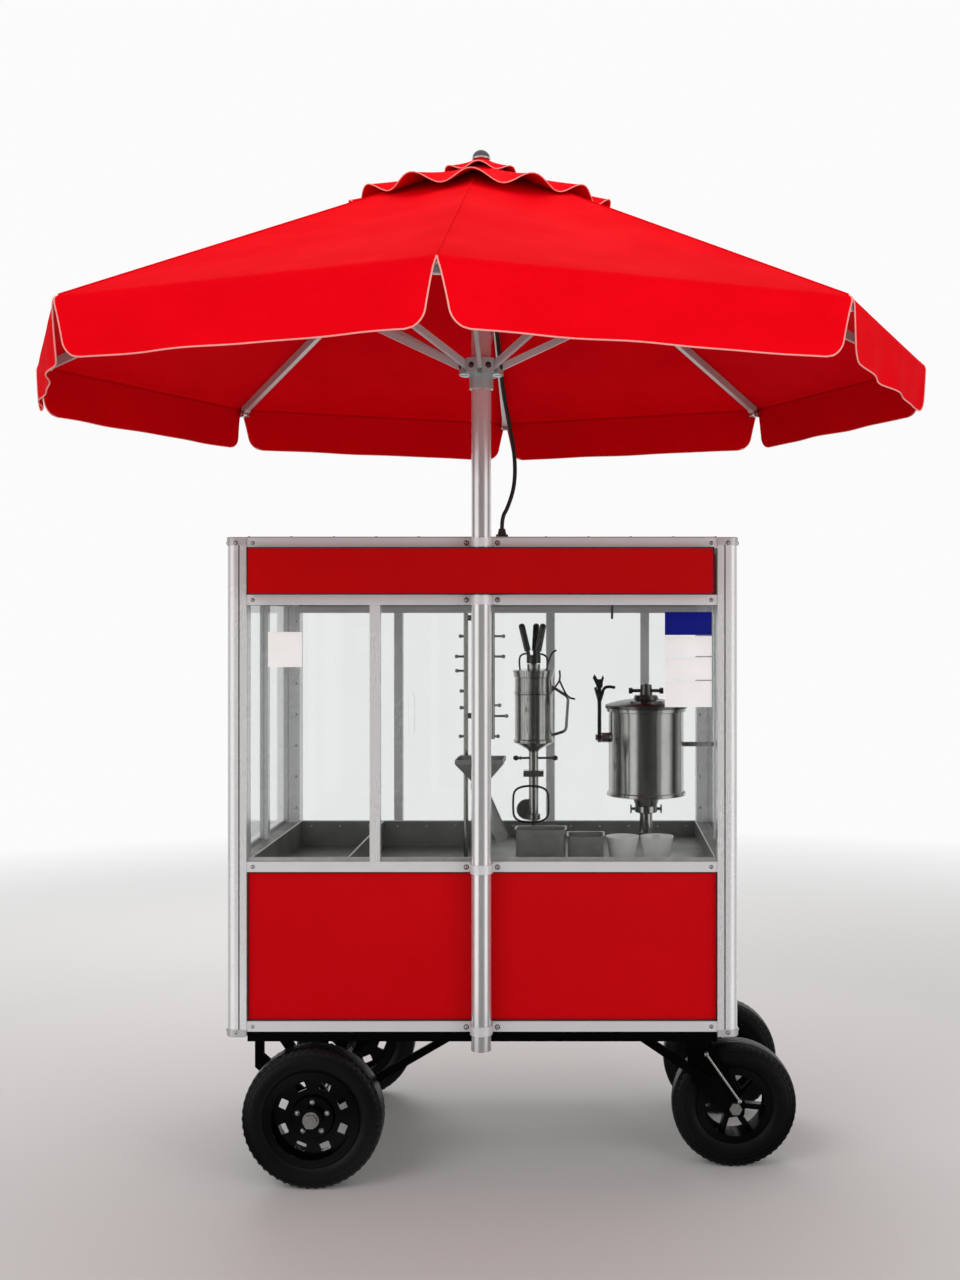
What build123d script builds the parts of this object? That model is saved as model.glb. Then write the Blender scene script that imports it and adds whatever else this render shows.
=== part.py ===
from build123d import *
from math import acos, cos, degrees, hypot, radians, sin, sqrt, tan
import os

# Churro cart with a folding parasol. Sizes are in millimetres.
# +Z is up, +X is to the right of the front, +Y is to the back.
# The origin lies on the floor under the mast.

# Cabinet sizes
cabinet_width = 1250
cabinet_depth = 720
post_size = 50
post_round = 22
post_cavity = 35
post_line = 3
rail_size = 25
rail_wall = 2
stiffener_depth = 25
stiffener_height = 19
rail_setback = 3
groove_depth = 6
panel_thickness = 4
groove_play = 0.3
lower_panel_height = 365
glass_height = 627
sign_height = 114
sign_inset = 13
sheet_thickness = 3
connector_height = 18
connector_lip = 2
front_mullion_x = -262
rear_mullion_x = (-292, 151)
rear_right_inset = 199

# Chassis sizes
chassis_bottom = 356
chassis_height = 25
chassis_tube = 40
chassis_inset = 51
hanger_thickness = 12
fork_plate = 6
fork_gap = 100

# Wheel sizes
left_wheel_radius = 172
left_tyre_width = 84
left_rim_radius = 107
left_axle_inset = 160
left_axle_radius = 10
left_window_count = 8
left_nut_count = 5
right_wheel_radius = 158
right_tyre_width = 78
right_rim_radius = 86
right_axle_reach = 56
right_bolt_radius = 8
right_spoke_count = 7
right_wheel_inset = 165
bearing_play = 0.075
bead_play = 0.3

# Mast and parasol sizes
mast_radius = 24
mast_wall = 2
mast_stand_off = 2
mast_foot = 12
canopy_radius = 1078
rib_count = 8
rib_slope = 24.46
rib_length = 1114
rib_width = 14
rib_height = 20
rib_hinge_radius = 45
rib_hinge_height = 2460
strut_reach = 530
strut_drop = 24
strut_width = 10
strut_height = 16
runner_drop = 463
runner_pivot_radius = 44
open_pivot_hole = 7
eye_wall = 3
pivot_pin = 2.5
cloth_thickness = 2.5
cloth_gap = 12
valance_height = 120
valance_round = 34
tier_radius = 305
cap_radius = 97

# Deck and equipment sizes
deck_wall = 2
bin_depth = 72
machine_deck_depth = 41
machine_y = 346
press_x = 115
press_radius = 50
filler_inset = 211
filler_radius = 99.5
cup_radius = 44
cup_height = 58
cup_y = 330
cup_offsets = (-63, 28)
rack_x = (-53, 15)
rack_y = 196
rack_rod = 6
hopper_half = 60
hopper_offset = 43

# Cord
cord_diameter = 10
clip_drop = 170

# Heights that follow from the stack of rails and panels
base_z = chassis_bottom + chassis_height
lower_panel_z = base_z + rail_size
mid_rail_z = lower_panel_z + lower_panel_height
glass_z = mid_rail_z + rail_size
header_rail_z = glass_z + glass_height
sign_z = header_rail_z + rail_size
top_rail_z = sign_z + sign_height
roof_z = top_rail_z + rail_size

# Planes of the cabinet faces
rail_front_y = mast_radius + mast_stand_off
post_front_y = rail_front_y - rail_setback
post_back_y = post_front_y + cabinet_depth
rail_back_y = post_back_y - rail_setback
middle_y = (post_front_y + post_back_y) / 2
half_width = cabinet_width / 2
bay_half = half_width - post_size
rear_right = half_width - rear_right_inset
sign_half_width = bay_half - sign_inset
side_rail_x = half_width - rail_setback - rail_size / 2
front_panel_y = rail_front_y + rail_size / 2
back_panel_y = rail_back_y - rail_size / 2
panel_lap = groove_depth - 0.5
groove_width = panel_thickness + 2 * groove_play
post_start_y = post_front_y + post_size
post_end_y = post_back_y - post_size
bin_floor_z = glass_z - bin_depth
machine_floor_z = glass_z - machine_deck_depth
filler_x = half_width - filler_inset
cup_x = [filler_x + offset for offset in cup_offsets]

# Places of the axles and of the parasol's runner
chassis_half_length = half_width - chassis_inset
left_axle_x = left_axle_inset - chassis_half_length
right_axle_x = chassis_half_length + right_axle_reach
runner_height = rib_hinge_height - runner_drop

os.makedirs("parts", exist_ok=True)


def write(builder, name):
    """Labels one finished piece and writes its file."""
    builder.part.label = name
    export_step(builder.part, f"parts/{name}.step")


def write_group(pieces, name):
    """Writes separate solids that share one node."""
    group = Compound(label=name, children=pieces)
    export_step(group, f"parts/{name}.step")


def yz_plane(x, y, z):
    """Drawing plane that faces along +X, with local x along Y and local y up."""
    return Plane((x, y, z), x_dir=(0, 1, 0), z_dir=(1, 0, 0))


def block(low, high):
    """One rectangular solid between two opposite corners."""
    with BuildPart() as piece:
        size = [high[i] - low[i] for i in range(3)]
        middle = [(high[i] + low[i]) / 2 for i in range(3)]
        with Locations(tuple(middle)):
            Box(*size)
    return piece.part


def plate_in_xz(points, start_y, thickness, hole=None, window=None):
    """A flat plate drawn in X and Z and given its thickness along Y."""
    front = Plane((0, start_y, 0), x_dir=(1, 0, 0), z_dir=(0, -1, 0))
    with BuildPart() as piece:
        with BuildSketch(front):
            with BuildLine():
                Polyline(*points, close=True)
            make_face()
            if hole:
                with Locations((hole[0], hole[1])):
                    Circle(hole[2], mode=Mode.SUBTRACT)
            if window:
                with BuildLine():
                    Polyline(*window, close=True)
                make_face(mode=Mode.SUBTRACT)
        extrude(amount=-thickness)
    return piece.part


# Corner posts: one profile turned to face each corner
corner_places = (
    (-half_width, post_front_y, 0),
    (half_width, post_front_y, 90),
    (half_width, post_back_y, 180),
    (-half_width, post_back_y, 270),
)


def corner_plane(place, height):
    """Drawing plane with its origin on the outer corner of a post."""
    turn = radians(place[2])
    return Plane((place[0], place[1], height), x_dir=(cos(turn), sin(turn), 0), z_dir=(0, 0, 1))


post_low = base_z - chassis_height / 2 + connector_height
post_high = roof_z - connector_height
post_groove = rail_setback + rail_size / 2
post_pieces = []
for place in corner_places:
    with BuildPart() as post:
        with BuildSketch(corner_plane(place, post_low)):
            with BuildLine():
                far = post_size
                Polyline((post_round, 0), (far, 0), (far, far), (0, far), (0, post_round))
                CenterArc((post_round, post_round), post_round, 180, 90)
            make_face()
            with Locations((post_size - groove_depth / 2, post_groove)):
                Rectangle(groove_depth, groove_width, mode=Mode.SUBTRACT)
            with Locations((post_groove, post_size - groove_depth / 2)):
                Rectangle(groove_width, groove_depth, mode=Mode.SUBTRACT)
            with Locations((post_size * 0.64, post_line / 2)):
                Rectangle(post_line, post_line, mode=Mode.SUBTRACT)
            with Locations((post_line / 2, post_size * 0.64)):
                Rectangle(post_line, post_line, mode=Mode.SUBTRACT)
            with BuildSketch(mode=Mode.PRIVATE) as cavity:
                with Locations((post_size * 0.48, post_size * 0.48)):
                    Rectangle(post_cavity, post_cavity)
                outer = cavity.vertices().sort_by_distance((0, 0))[0]
                fillet(outer, post_round * 0.75)
            add(cavity.sketch, mode=Mode.SUBTRACT)
        extrude(amount=post_high - post_low)
    post_pieces.append(post.part)
write_group(post_pieces, "corner_posts")

# Corner connectors: three-way castings above and below each post
connector_pieces = []
for place in corner_places:
    for low, high in ((post_low - connector_height, post_low), (post_high, roof_z + connector_lip)):
        with BuildPart() as connector:
            with BuildSketch(corner_plane(place, low)):
                with BuildLine():
                    lip_start = post_round
                    far = post_size
                    Polyline((lip_start, -connector_lip), (far, -connector_lip), (far, far))
                    Polyline((far, far), (-connector_lip, far), (-connector_lip, lip_start))
                    CenterArc((post_round, post_round), post_round + connector_lip, 180, 90)
                make_face()
            extrude(amount=high - low)
            rims = connector.edges().group_by(Axis.Z)
            chamfer(rims[-1] if high > roof_z else rims[0], 1.5)
        connector_pieces.append(connector.part)
write_group(connector_pieces, "corner_connectors")


# Rails and mullions: one grooved tube section
def draw_rail_section():
    """Square tube with a panel groove in the upper and the lower face."""
    core = rail_size - 2 * (groove_depth + rail_wall)
    Rectangle(rail_size, rail_size)
    with Locations((0, (rail_size - groove_depth) / 2), (0, (groove_depth - rail_size) / 2)):
        Rectangle(groove_width, groove_depth, mode=Mode.SUBTRACT)
    Rectangle(rail_size - 2 * rail_wall, core, mode=Mode.SUBTRACT)


def rail_along_x(center_y, low_z, start, end):
    """Rail across the width."""
    with BuildPart() as rail:
        with BuildSketch(yz_plane(start, center_y, low_z + rail_size / 2)):
            draw_rail_section()
        extrude(amount=end - start)
    return rail.part


def rail_along_y(center_x, low_z, start, end):
    """Rail along the depth."""
    with BuildPart() as rail:
        middle = (center_x, start, low_z + rail_size / 2)
        with BuildSketch(Plane(middle, x_dir=(-1, 0, 0), z_dir=(0, 1, 0))):
            draw_rail_section()
        extrude(amount=end - start)
    return rail.part


def mullion(center_x, center_y, low_z, high_z, in_side_wall=False):
    """Upright with a panel groove on both edges."""
    with BuildPart() as upright:
        across = (1, 0, 0) if in_side_wall else (0, 1, 0)
        with BuildSketch(Plane((center_x, center_y, low_z), x_dir=across, z_dir=(0, 0, 1))):
            draw_rail_section()
        extrude(amount=high_z - low_z)
    return upright.part


rail_levels = (base_z, mid_rail_z, header_rail_z, top_rail_z)
rail_pieces = []
for level in rail_levels:
    rail_pieces.append(rail_along_x(front_panel_y, level, -bay_half, bay_half))
    rail_pieces.append(rail_along_x(back_panel_y, level, -bay_half, bay_half))
    rail_pieces.append(rail_along_y(-side_rail_x, level, post_start_y, post_end_y))
    rail_pieces.append(rail_along_y(side_rail_x, level, post_start_y, post_end_y))

# Stiffener under the back header rail, inside the panes
stiffener_back = rail_back_y - rail_size
stiffener_low = (-bay_half, stiffener_back - stiffener_depth, header_rail_z - stiffener_height)
rail_pieces.append(block(stiffener_low, (bay_half, stiffener_back, header_rail_z)))

# Hatch tracks on the outer faces of the two upper back rails
track_depth = 12
track_height = 20
track_slot = 14
hatch_lap = 18
hatch_low = rear_mullion_x[0] + rail_size / 2 - hatch_lap
hatch_high = rear_mullion_x[1] - rail_size / 2 + hatch_lap
hatch_center_y = rail_back_y + track_depth / 2
track_low = hatch_low - 7
track_high = bay_half - 1
for level, slot_up in ((mid_rail_z + 3, True), (header_rail_z + 2, False)):
    with BuildPart() as track:
        with BuildSketch(yz_plane(track_low, hatch_center_y, level)):
            Rectangle(track_depth, track_height, align=(Align.CENTER, Align.MIN))
            with Locations((0, track_height - track_slot if slot_up else 0)):
                slot_align = (Align.CENTER, Align.MIN)
                Rectangle(groove_width, track_slot, align=slot_align, mode=Mode.SUBTRACT)
        extrude(amount=track_high - track_low)
    rail_pieces.append(track.part)
write_group(rail_pieces, "frame_rails")

mullion_pieces = [
    mullion(0, front_panel_y, lower_panel_z, mid_rail_z),
    mullion(0, front_panel_y, glass_z, header_rail_z),
    mullion(front_mullion_x, front_panel_y, glass_z, header_rail_z),
    mullion(-side_rail_x, middle_y, glass_z, header_rail_z, True),
    mullion(side_rail_x, middle_y, glass_z, header_rail_z, True),
]
for place in (*rear_mullion_x, rear_right):
    mullion_pieces.append(mullion(place, back_panel_y, glass_z, header_rail_z))
write_group(mullion_pieces, "mullions")


# Panels and panes slide into the grooves
def pane_across(center_y, left, right, low, high):
    """Flat pane in a front or back wall, lapped into the grooves around it."""
    half = panel_thickness / 2
    low_corner = (left - panel_lap, center_y - half, low - panel_lap)
    return block(low_corner, (right + panel_lap, center_y + half, high + panel_lap))


def pane_in_side(center_x, near, far, low, high):
    """Flat pane in a side wall, lapped into the grooves around it."""
    half = panel_thickness / 2
    low_corner = (center_x - half, near - panel_lap, low - panel_lap)
    return block(low_corner, (center_x + half, far + panel_lap, high + panel_lap))


half_rail = rail_size / 2
red_pieces = [
    pane_across(front_panel_y, -bay_half, -half_rail, lower_panel_z, mid_rail_z),
    pane_across(front_panel_y, half_rail, bay_half, lower_panel_z, mid_rail_z),
    pane_across(back_panel_y, -bay_half, bay_half, sign_z, top_rail_z),
]
for side in (-side_rail_x, side_rail_x):
    red_pieces.append(pane_in_side(side, post_start_y, post_end_y, lower_panel_z, mid_rail_z))
    red_pieces.append(pane_in_side(side, post_start_y, post_end_y, sign_z, top_rail_z))
write_group(red_pieces, "red_panels")

mullion_left = front_mullion_x - half_rail
mullion_right = front_mullion_x + half_rail
rear_left, rear_middle = rear_mullion_x
glass_pieces = [
    pane_across(front_panel_y, -bay_half, mullion_left, glass_z, header_rail_z),
    pane_across(front_panel_y, mullion_right, -half_rail, glass_z, header_rail_z),
    pane_across(front_panel_y, half_rail, bay_half, glass_z, header_rail_z),
    pane_across(back_panel_y, -bay_half, rear_left - half_rail, glass_z, header_rail_z),
    pane_across(back_panel_y, rear_middle + half_rail, rear_right - half_rail, glass_z, header_rail_z),
    pane_across(back_panel_y, rear_right + half_rail, bay_half, glass_z, header_rail_z),
]
for side in (-side_rail_x, side_rail_x):
    glass_pieces.append(pane_in_side(side, post_start_y, middle_y - half_rail, glass_z, header_rail_z))
    glass_pieces.append(pane_in_side(side, middle_y + half_rail, post_end_y, glass_z, header_rail_z))
write_group(glass_pieces, "glass_panes")

# Sliding back hatch with a bonded finger pull
hatch_foot = mid_rail_z + 3 + track_height - track_slot + 0.3
hatch_top = header_rail_z + 2 + track_slot - 3
with BuildPart() as rear_hatch:
    with Locations(((hatch_low + hatch_high) / 2, hatch_center_y, (hatch_foot + hatch_top) / 2)):
        Box(hatch_high - hatch_low, panel_thickness, hatch_top - hatch_foot)
    pull_x = hatch_low + 40
    with BuildSketch(Plane.XZ.offset(-(hatch_center_y + panel_thickness / 2))):
        with Locations((pull_x, (hatch_foot + hatch_top) / 2)):
            SlotOverall(120, 18, rotation=90)
    extrude(amount=-9)
write(rear_hatch, "rear_hatch")

# Sign cassette between the two header rails, with the mast passing down through it
sign_face_y = -mast_radius - 6
sign_back_y = rail_front_y + rail_size * 0.75
with BuildPart() as sign_panel:
    with Locations((0, (sign_face_y + sign_back_y) / 2, sign_z + sign_height / 2)):
        Box(2 * sign_half_width, sign_back_y - sign_face_y, sign_height)
    inner_depth = sign_back_y - sign_face_y - panel_thickness
    with Locations((0, sign_back_y - inner_depth / 2, sign_z + sign_height / 2)):
        inner_width = 2 * (sign_half_width - sheet_thickness)
        inner_height = sign_height - 2 * sheet_thickness
        Box(inner_width, inner_depth, inner_height, mode=Mode.SUBTRACT)
    with Locations((0, 0, sign_z + sign_height / 2)):
        Cylinder(mast_radius + 1, sign_height + 10, mode=Mode.SUBTRACT)
    upright = sign_panel.edges().filter_by(Axis.Z).group_by(Axis.Y)[0]
    fillet(upright, 3)
write(sign_panel, "sign_panel")

# Roof sheet lies on the top rails and is notched around the corner connectors
with BuildPart() as roof_panel:
    roof_half = half_width - rail_setback
    with Locations((0, middle_y, roof_z + sheet_thickness / 2)):
        Box(2 * roof_half, rail_back_y - rail_front_y, sheet_thickness)
        with GridLocations(2 * half_width, post_back_y - post_front_y, 2, 2):
            Box(2 * post_size + 2, 2 * post_size + 2, 2 * sheet_thickness, mode=Mode.SUBTRACT)
write(roof_panel, "roof_panel")

# Cupboard floor rests on the chassis inside the bottom rails
with BuildPart() as base_panel:
    floor_half = bay_half - 2
    floor_depth = cabinet_depth - 2 * (rail_setback + rail_size) - 2
    with Locations((0, middle_y, base_z + sheet_thickness / 2)):
        Box(2 * floor_half, floor_depth, sheet_thickness)
write(base_panel, "base_panel")

# Steel deck: two deep bins on the left and a shallow machine deck on the right
deck_front = rail_front_y + rail_size + 1
deck_back = rail_back_y - rail_size - 1
deck_half = bay_half - 1
deck_split = -16
bin_split = -334
flange_lap = rail_size / 2 - groove_width / 2 - 2
with BuildPart() as deck_tray:
    add(block((-deck_half, deck_front, bin_floor_z - deck_wall), (deck_split, deck_back, glass_z)))
    right_low = (deck_split, deck_front, machine_floor_z - deck_wall)
    add(block(right_low, (deck_half, deck_back, glass_z)))
    rim_low = (-deck_half, deck_front - flange_lap, glass_z)
    add(block(rim_low, (deck_half, deck_back + flange_lap, glass_z + deck_wall)))
    wing = side_rail_x - groove_width / 2 - 2
    add(block((-wing, post_start_y + 2, glass_z), (wing, post_end_y - 2, glass_z + deck_wall)))
    pockets = (
        (-deck_half + deck_wall, bin_split - deck_wall, bin_floor_z),
        (bin_split + deck_wall, deck_split - deck_wall, bin_floor_z),
        (deck_split + deck_wall, deck_half - deck_wall, machine_floor_z),
    )
    for left, right, floor in pockets:
        low = (left, deck_front + deck_wall, floor)
        add(block(low, (right, deck_back - deck_wall, glass_z + 10)), mode=Mode.SUBTRACT)
    notch = rail_size / 2 + 1
    for place in (front_mullion_x, 0):
        low = (place - notch, rail_front_y, glass_z)
        add(block(low, (place + notch, rail_front_y + rail_size + 0.5, glass_z + 10)), mode=Mode.SUBTRACT)
    for place in (*rear_mullion_x, rear_right):
        low = (place - notch, rail_back_y - rail_size - 0.5, glass_z)
        add(block(low, (place + notch, rail_back_y, glass_z + 10)), mode=Mode.SUBTRACT)
    for side in (-1, 1):
        near = side_rail_x - rail_size / 2 - 0.5
        low = (min(side * near, side * half_width), middle_y - notch, glass_z)
        high = (max(side * near, side * half_width), middle_y + notch, glass_z + 10)
        add(block(low, high), mode=Mode.SUBTRACT)
write(deck_tray, "deck_tray")

# Back doors: folded cassettes with knuckles that turn on the fixed hinge pins
door_thickness = 20
door_gap = 1.5
door_low = lower_panel_z + 2
door_high = mid_rail_z - 2
hinge_x = bay_half - 6
hinge_y = post_back_y + 6
knuckle_radius = 6
hinge_pin_radius = 3
knuckle_height = 28
hinge_heights = (door_low + 60, door_high - 60)


def back_door(side):
    """One hinged back door; side is -1 for the left one and 1 for the right one."""
    outer_x = side * (bay_half - 2)
    inner_x = side * door_gap
    middle_x = (outer_x + inner_x) / 2
    width = abs(outer_x - inner_x)
    with BuildPart() as door:
        with Locations((middle_x, rail_back_y - door_thickness / 2, (door_low + door_high) / 2)):
            Box(width, door_thickness, door_high - door_low)
        with Locations((middle_x, rail_back_y - door_thickness / 2 - 3, (door_low + door_high) / 2)):
            Box(width - 6, door_thickness, door_high - door_low - 6, mode=Mode.SUBTRACT)
        for height in hinge_heights:
            with Locations((side * (hinge_x - 20), rail_back_y + 3.5, height)):
                Box(40, 7, knuckle_height)
            with Locations((side * hinge_x, hinge_y, height)):
                Cylinder(knuckle_radius, knuckle_height)
                hole = hinge_pin_radius + bearing_play
                Cylinder(hole, knuckle_height + 2, mode=Mode.SUBTRACT)
        knob_x = side * 46
        knob_z = (door_low + door_high) / 2 + 60
        with BuildSketch(Plane.XZ.offset(-(rail_back_y - 1))):
            with Locations((knob_x, knob_z)):
                Circle(8)
        extrude(amount=-20)
        with BuildSketch(Plane.XZ.offset(-(rail_back_y + 18))):
            with Locations((knob_x, knob_z)):
                Circle(17)
        extrude(amount=-12, taper=8)
    return door


write(back_door(-1), "back_door_left")
write(back_door(1), "back_door_right")

hinge_pieces = []
for side in (-1, 1):
    for height in hinge_heights:
        with BuildPart() as hinge:
            with Locations((side * (hinge_x + 26), post_back_y + 2, height)):
                Box(36, 4, knuckle_height + 34)
            for offset in (-knuckle_height / 2 - 8.5, knuckle_height / 2 + 8.5):
                with Locations((side * (hinge_x + 7), post_back_y + 2, height + offset)):
                    Box(14, 4, 16)
                with Locations((side * hinge_x, hinge_y, height + offset)):
                    Cylinder(knuckle_radius, 16)
            with Locations((side * hinge_x, hinge_y, height)):
                Cylinder(hinge_pin_radius, knuckle_height + 34)
        hinge_pieces.append(hinge.part)
write_group(hinge_pieces, "door_hinges")

# Chassis: welded tubes, left hanger plates and braces
frame_front = rail_front_y + 4
frame_back = rail_back_y - 4
left_axle_z = left_wheel_radius
right_axle_z = right_wheel_radius
right_bay_x = chassis_half_length - 47
brace_bay_x = right_bay_x - 155
left_brace_x = left_axle_x + 352
chassis_pieces = [
    block(
        (-chassis_half_length, frame_front, chassis_bottom),
        (chassis_half_length, frame_front + chassis_tube, base_z),
    ),
    block(
        (-chassis_half_length, frame_back - chassis_tube, chassis_bottom),
        (chassis_half_length, frame_back, base_z),
    ),
]
cross_start = frame_front + chassis_tube
cross_end = frame_back - chassis_tube
cross_members = (
    (-chassis_half_length, chassis_tube),
    (left_brace_x - 20, 40),
    (brace_bay_x - 20, 40),
    (right_bay_x - 30, 60),
)
for left, width in cross_members:
    chassis_pieces.append(block((left, cross_start, chassis_bottom), (left + width, cross_end, base_z)))
hanger_edge = left_axle_x + 28
hanger_points = (
    (-chassis_half_length, chassis_bottom),
    (-chassis_half_length + 76, chassis_bottom),
    (hanger_edge, left_axle_z + 24),
    (hanger_edge, left_axle_z - 24),
    (left_axle_x - 28, left_axle_z - 24),
    (-chassis_half_length, chassis_bottom - 88),
)
hanger_window = (
    (-chassis_half_length + 22, chassis_bottom - 22),
    (-chassis_half_length + 61, chassis_bottom - 22),
    (left_axle_x - 24, left_axle_z + 56),
    (left_axle_x - 38, left_axle_z + 42),
    (-chassis_half_length + 22, chassis_bottom - 56),
)
left_brace = (
    (left_brace_x - 20, chassis_bottom),
    (left_brace_x + 16, chassis_bottom),
    (hanger_edge, left_axle_z - 12),
    (hanger_edge, left_axle_z + 12),
)
fork_corner = (right_bay_x + 18, right_axle_z + 60)
right_brace = (
    (brace_bay_x - 20, chassis_bottom),
    (brace_bay_x + 16, chassis_bottom),
    (fork_corner[0] + 27, fork_corner[1] + 18),
    (fork_corner[0] + 11, fork_corner[1]),
)
left_hole = (left_axle_x, left_axle_z, left_axle_radius + 0.15)
hanger_y = frame_front + chassis_tube + 42
right_wheel_y = post_front_y + right_wheel_inset
fork_half = fork_gap / 2 + fork_plate
far_hanger_y = 2 * middle_y - hanger_y - hanger_thickness
near_brace_y = right_wheel_y - fork_half - hanger_thickness
far_brace_y = 2 * middle_y - near_brace_y - hanger_thickness
for start in (hanger_y, far_hanger_y):
    chassis_pieces.append(plate_in_xz(hanger_points, start, hanger_thickness, left_hole, hanger_window))
    chassis_pieces.append(plate_in_xz(left_brace, start, hanger_thickness))
for start in (near_brace_y, far_brace_y):
    chassis_pieces.append(plate_in_xz(right_brace, start, hanger_thickness))
write_group(chassis_pieces, "chassis_frame")

# Right wheel forks: a crown plate with two side plates each
right_wheel_places = (right_wheel_y, 2 * middle_y - right_wheel_y)
crown = 8
fork_top = chassis_bottom - crown
fork_points = (
    (right_bay_x - 30, fork_top),
    (right_bay_x + 30, fork_top),
    (right_axle_x + 26, right_axle_z + 12),
    (right_axle_x + 22, right_axle_z - 18),
    (right_axle_x - 18, right_axle_z - 24),
    (right_bay_x - 7, right_axle_z + 64),
)
bolt_hole = (right_axle_x, right_axle_z, right_bolt_radius + 0.15)
fork_pieces = []
for place in right_wheel_places:
    crown_low = (right_bay_x - 30, place - fork_half, fork_top)
    fork_pieces.append(block(crown_low, (right_bay_x + 30, place + fork_half, chassis_bottom)))
    for start in (place - fork_half, place + fork_half - fork_plate):
        fork_pieces.append(plate_in_xz(fork_points, start, fork_plate, bolt_hole))
write_group(fork_pieces, "wheel_forks")

# Axles: one long left axle and a bolt for each right wheel
left_wheel_y = post_front_y + 22
left_hub_half = left_tyre_width / 2 - 2
right_hub_half = right_tyre_width / 2 - 3


def turned_along_y(center_x, center_z, profile):
    """Solid of revolution about a line along Y, from radius and Y pairs."""
    with BuildPart() as piece:
        with BuildSketch(Plane((center_x, 0, center_z))):
            with BuildLine():
                Polyline(*profile, close=True)
            make_face()
        revolve(axis=Axis((center_x, 0, center_z), (0, 1, 0)))
    return piece.part


def hexagon_along_y(center_x, center_z, start, length, radius):
    """Six-sided nut or bolt head along Y."""
    with BuildPart() as piece:
        with BuildSketch(Plane((center_x, start, center_z), x_dir=(1, 0, 0), z_dir=(0, 1, 0))):
            RegularPolygon(radius, 6)
        extrude(amount=length)
    return piece.part


axle_collar = left_axle_radius + 6
near_end = left_wheel_y - left_hub_half
near_inner = left_wheel_y + left_hub_half + 1
axle_profile = [
    (0, near_end - 22),
    (left_axle_radius, near_end - 22),
    (left_axle_radius, near_inner),
    (axle_collar, near_inner),
    (axle_collar, hanger_y),
    (left_axle_radius, hanger_y),
]
mirrored = [(radius, 2 * middle_y - y) for radius, y in reversed(axle_profile)]
with BuildPart() as left_axle:
    add(turned_along_y(left_axle_x, left_axle_z, axle_profile + mirrored))
    for start in (near_end - 17, 2 * middle_y - near_end + 3):
        add(hexagon_along_y(left_axle_x, left_axle_z, start, 14, 18))
    for start in (near_end - 3, 2 * middle_y - near_end + 1):
        inner = left_axle_radius - 1
        washer = [(inner, start), (20, start), (20, start + 2), (inner, start + 2)]
        add(turned_along_y(left_axle_x, left_axle_z, washer))
axle_pieces = [left_axle.part]
for place in right_wheel_places:
    collar = right_bolt_radius + 5
    plate_in = fork_gap / 2
    hub_gap = right_hub_half + 1
    bolt_profile = [
        (0, place - fork_half - 10),
        (right_bolt_radius, place - fork_half - 10),
        (right_bolt_radius, place - plate_in),
        (collar, place - plate_in),
        (collar, place - hub_gap),
        (right_bolt_radius, place - hub_gap),
        (right_bolt_radius, place + hub_gap),
        (collar, place + hub_gap),
        (collar, place + plate_in),
        (right_bolt_radius, place + plate_in),
        (right_bolt_radius, place + fork_half + 14),
        (0, place + fork_half + 14),
    ]
    with BuildPart() as bolt:
        add(turned_along_y(right_axle_x, right_axle_z, bolt_profile))
        add(hexagon_along_y(right_axle_x, right_axle_z, place - fork_half - 10, 10, 16))
        add(hexagon_along_y(right_axle_x, right_axle_z, place + fork_half, 10, 15))
    axle_pieces.append(bolt.part)
write_group(axle_pieces, "wheel_axles")


# Wheels
def tyre(center_x, center_y, radius, width, rim_radius):
    """Tyre with round shoulders and three tread grooves."""
    bead = rim_radius + bead_play
    half = width / 2
    bead_half = half - 7.1
    height = radius - rim_radius
    bulge = rim_radius + height * 0.5
    shoulder = rim_radius + height * 0.84
    with BuildPart() as piece:
        with BuildSketch(Plane((center_x, center_y, radius))):
            with BuildLine():
                Line((bead, -bead_half), (bead, bead_half))
                Line((bead, bead_half), (bead + 10, bead_half))
                ThreePointArc((bead + 10, bead_half), (bulge, half), (shoulder, half - 5))
                ThreePointArc((shoulder, half - 5), (radius - 4, half - 12), (radius - 1, half * 0.55))
                ThreePointArc((radius - 1, half * 0.55), (radius, 0), (radius - 1, -half * 0.55))
                ThreePointArc((radius - 1, -half * 0.55), (radius - 4, 12 - half), (shoulder, 5 - half))
                ThreePointArc((shoulder, 5 - half), (bulge, -half), (bead + 10, -bead_half))
                Line((bead + 10, -bead_half), (bead, -bead_half))
            make_face()
            with Locations((radius, 0), (radius, width * 0.17), (radius, -width * 0.17)):
                Rectangle(10, 4, mode=Mode.SUBTRACT)
        revolve(axis=Axis((center_x, center_y, radius), (0, 1, 0)))
    return piece


def rim_shell(width, rim_radius):
    """Barrel of a rim with both flanges, as radius and offset pairs."""
    half = width / 2
    well = half - 6.8
    return [
        (rim_radius - 9, -half + 2),
        (rim_radius + 9, -half + 2),
        (rim_radius + 9, -well),
        (rim_radius, -well),
        (rim_radius, well),
        (rim_radius + 9, well),
        (rim_radius + 9, half - 2),
        (rim_radius - 9, half - 2),
    ]


# Pressed face of the left rims
window_circle = left_rim_radius - 29
window_depth = 19
window_width = 25
window_round = 3
raised_rings = (left_rim_radius - 6, left_rim_radius - 11)
ring_width = 3
ring_rise = 4
hub_dome = 55
nut_circle = 38


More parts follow.
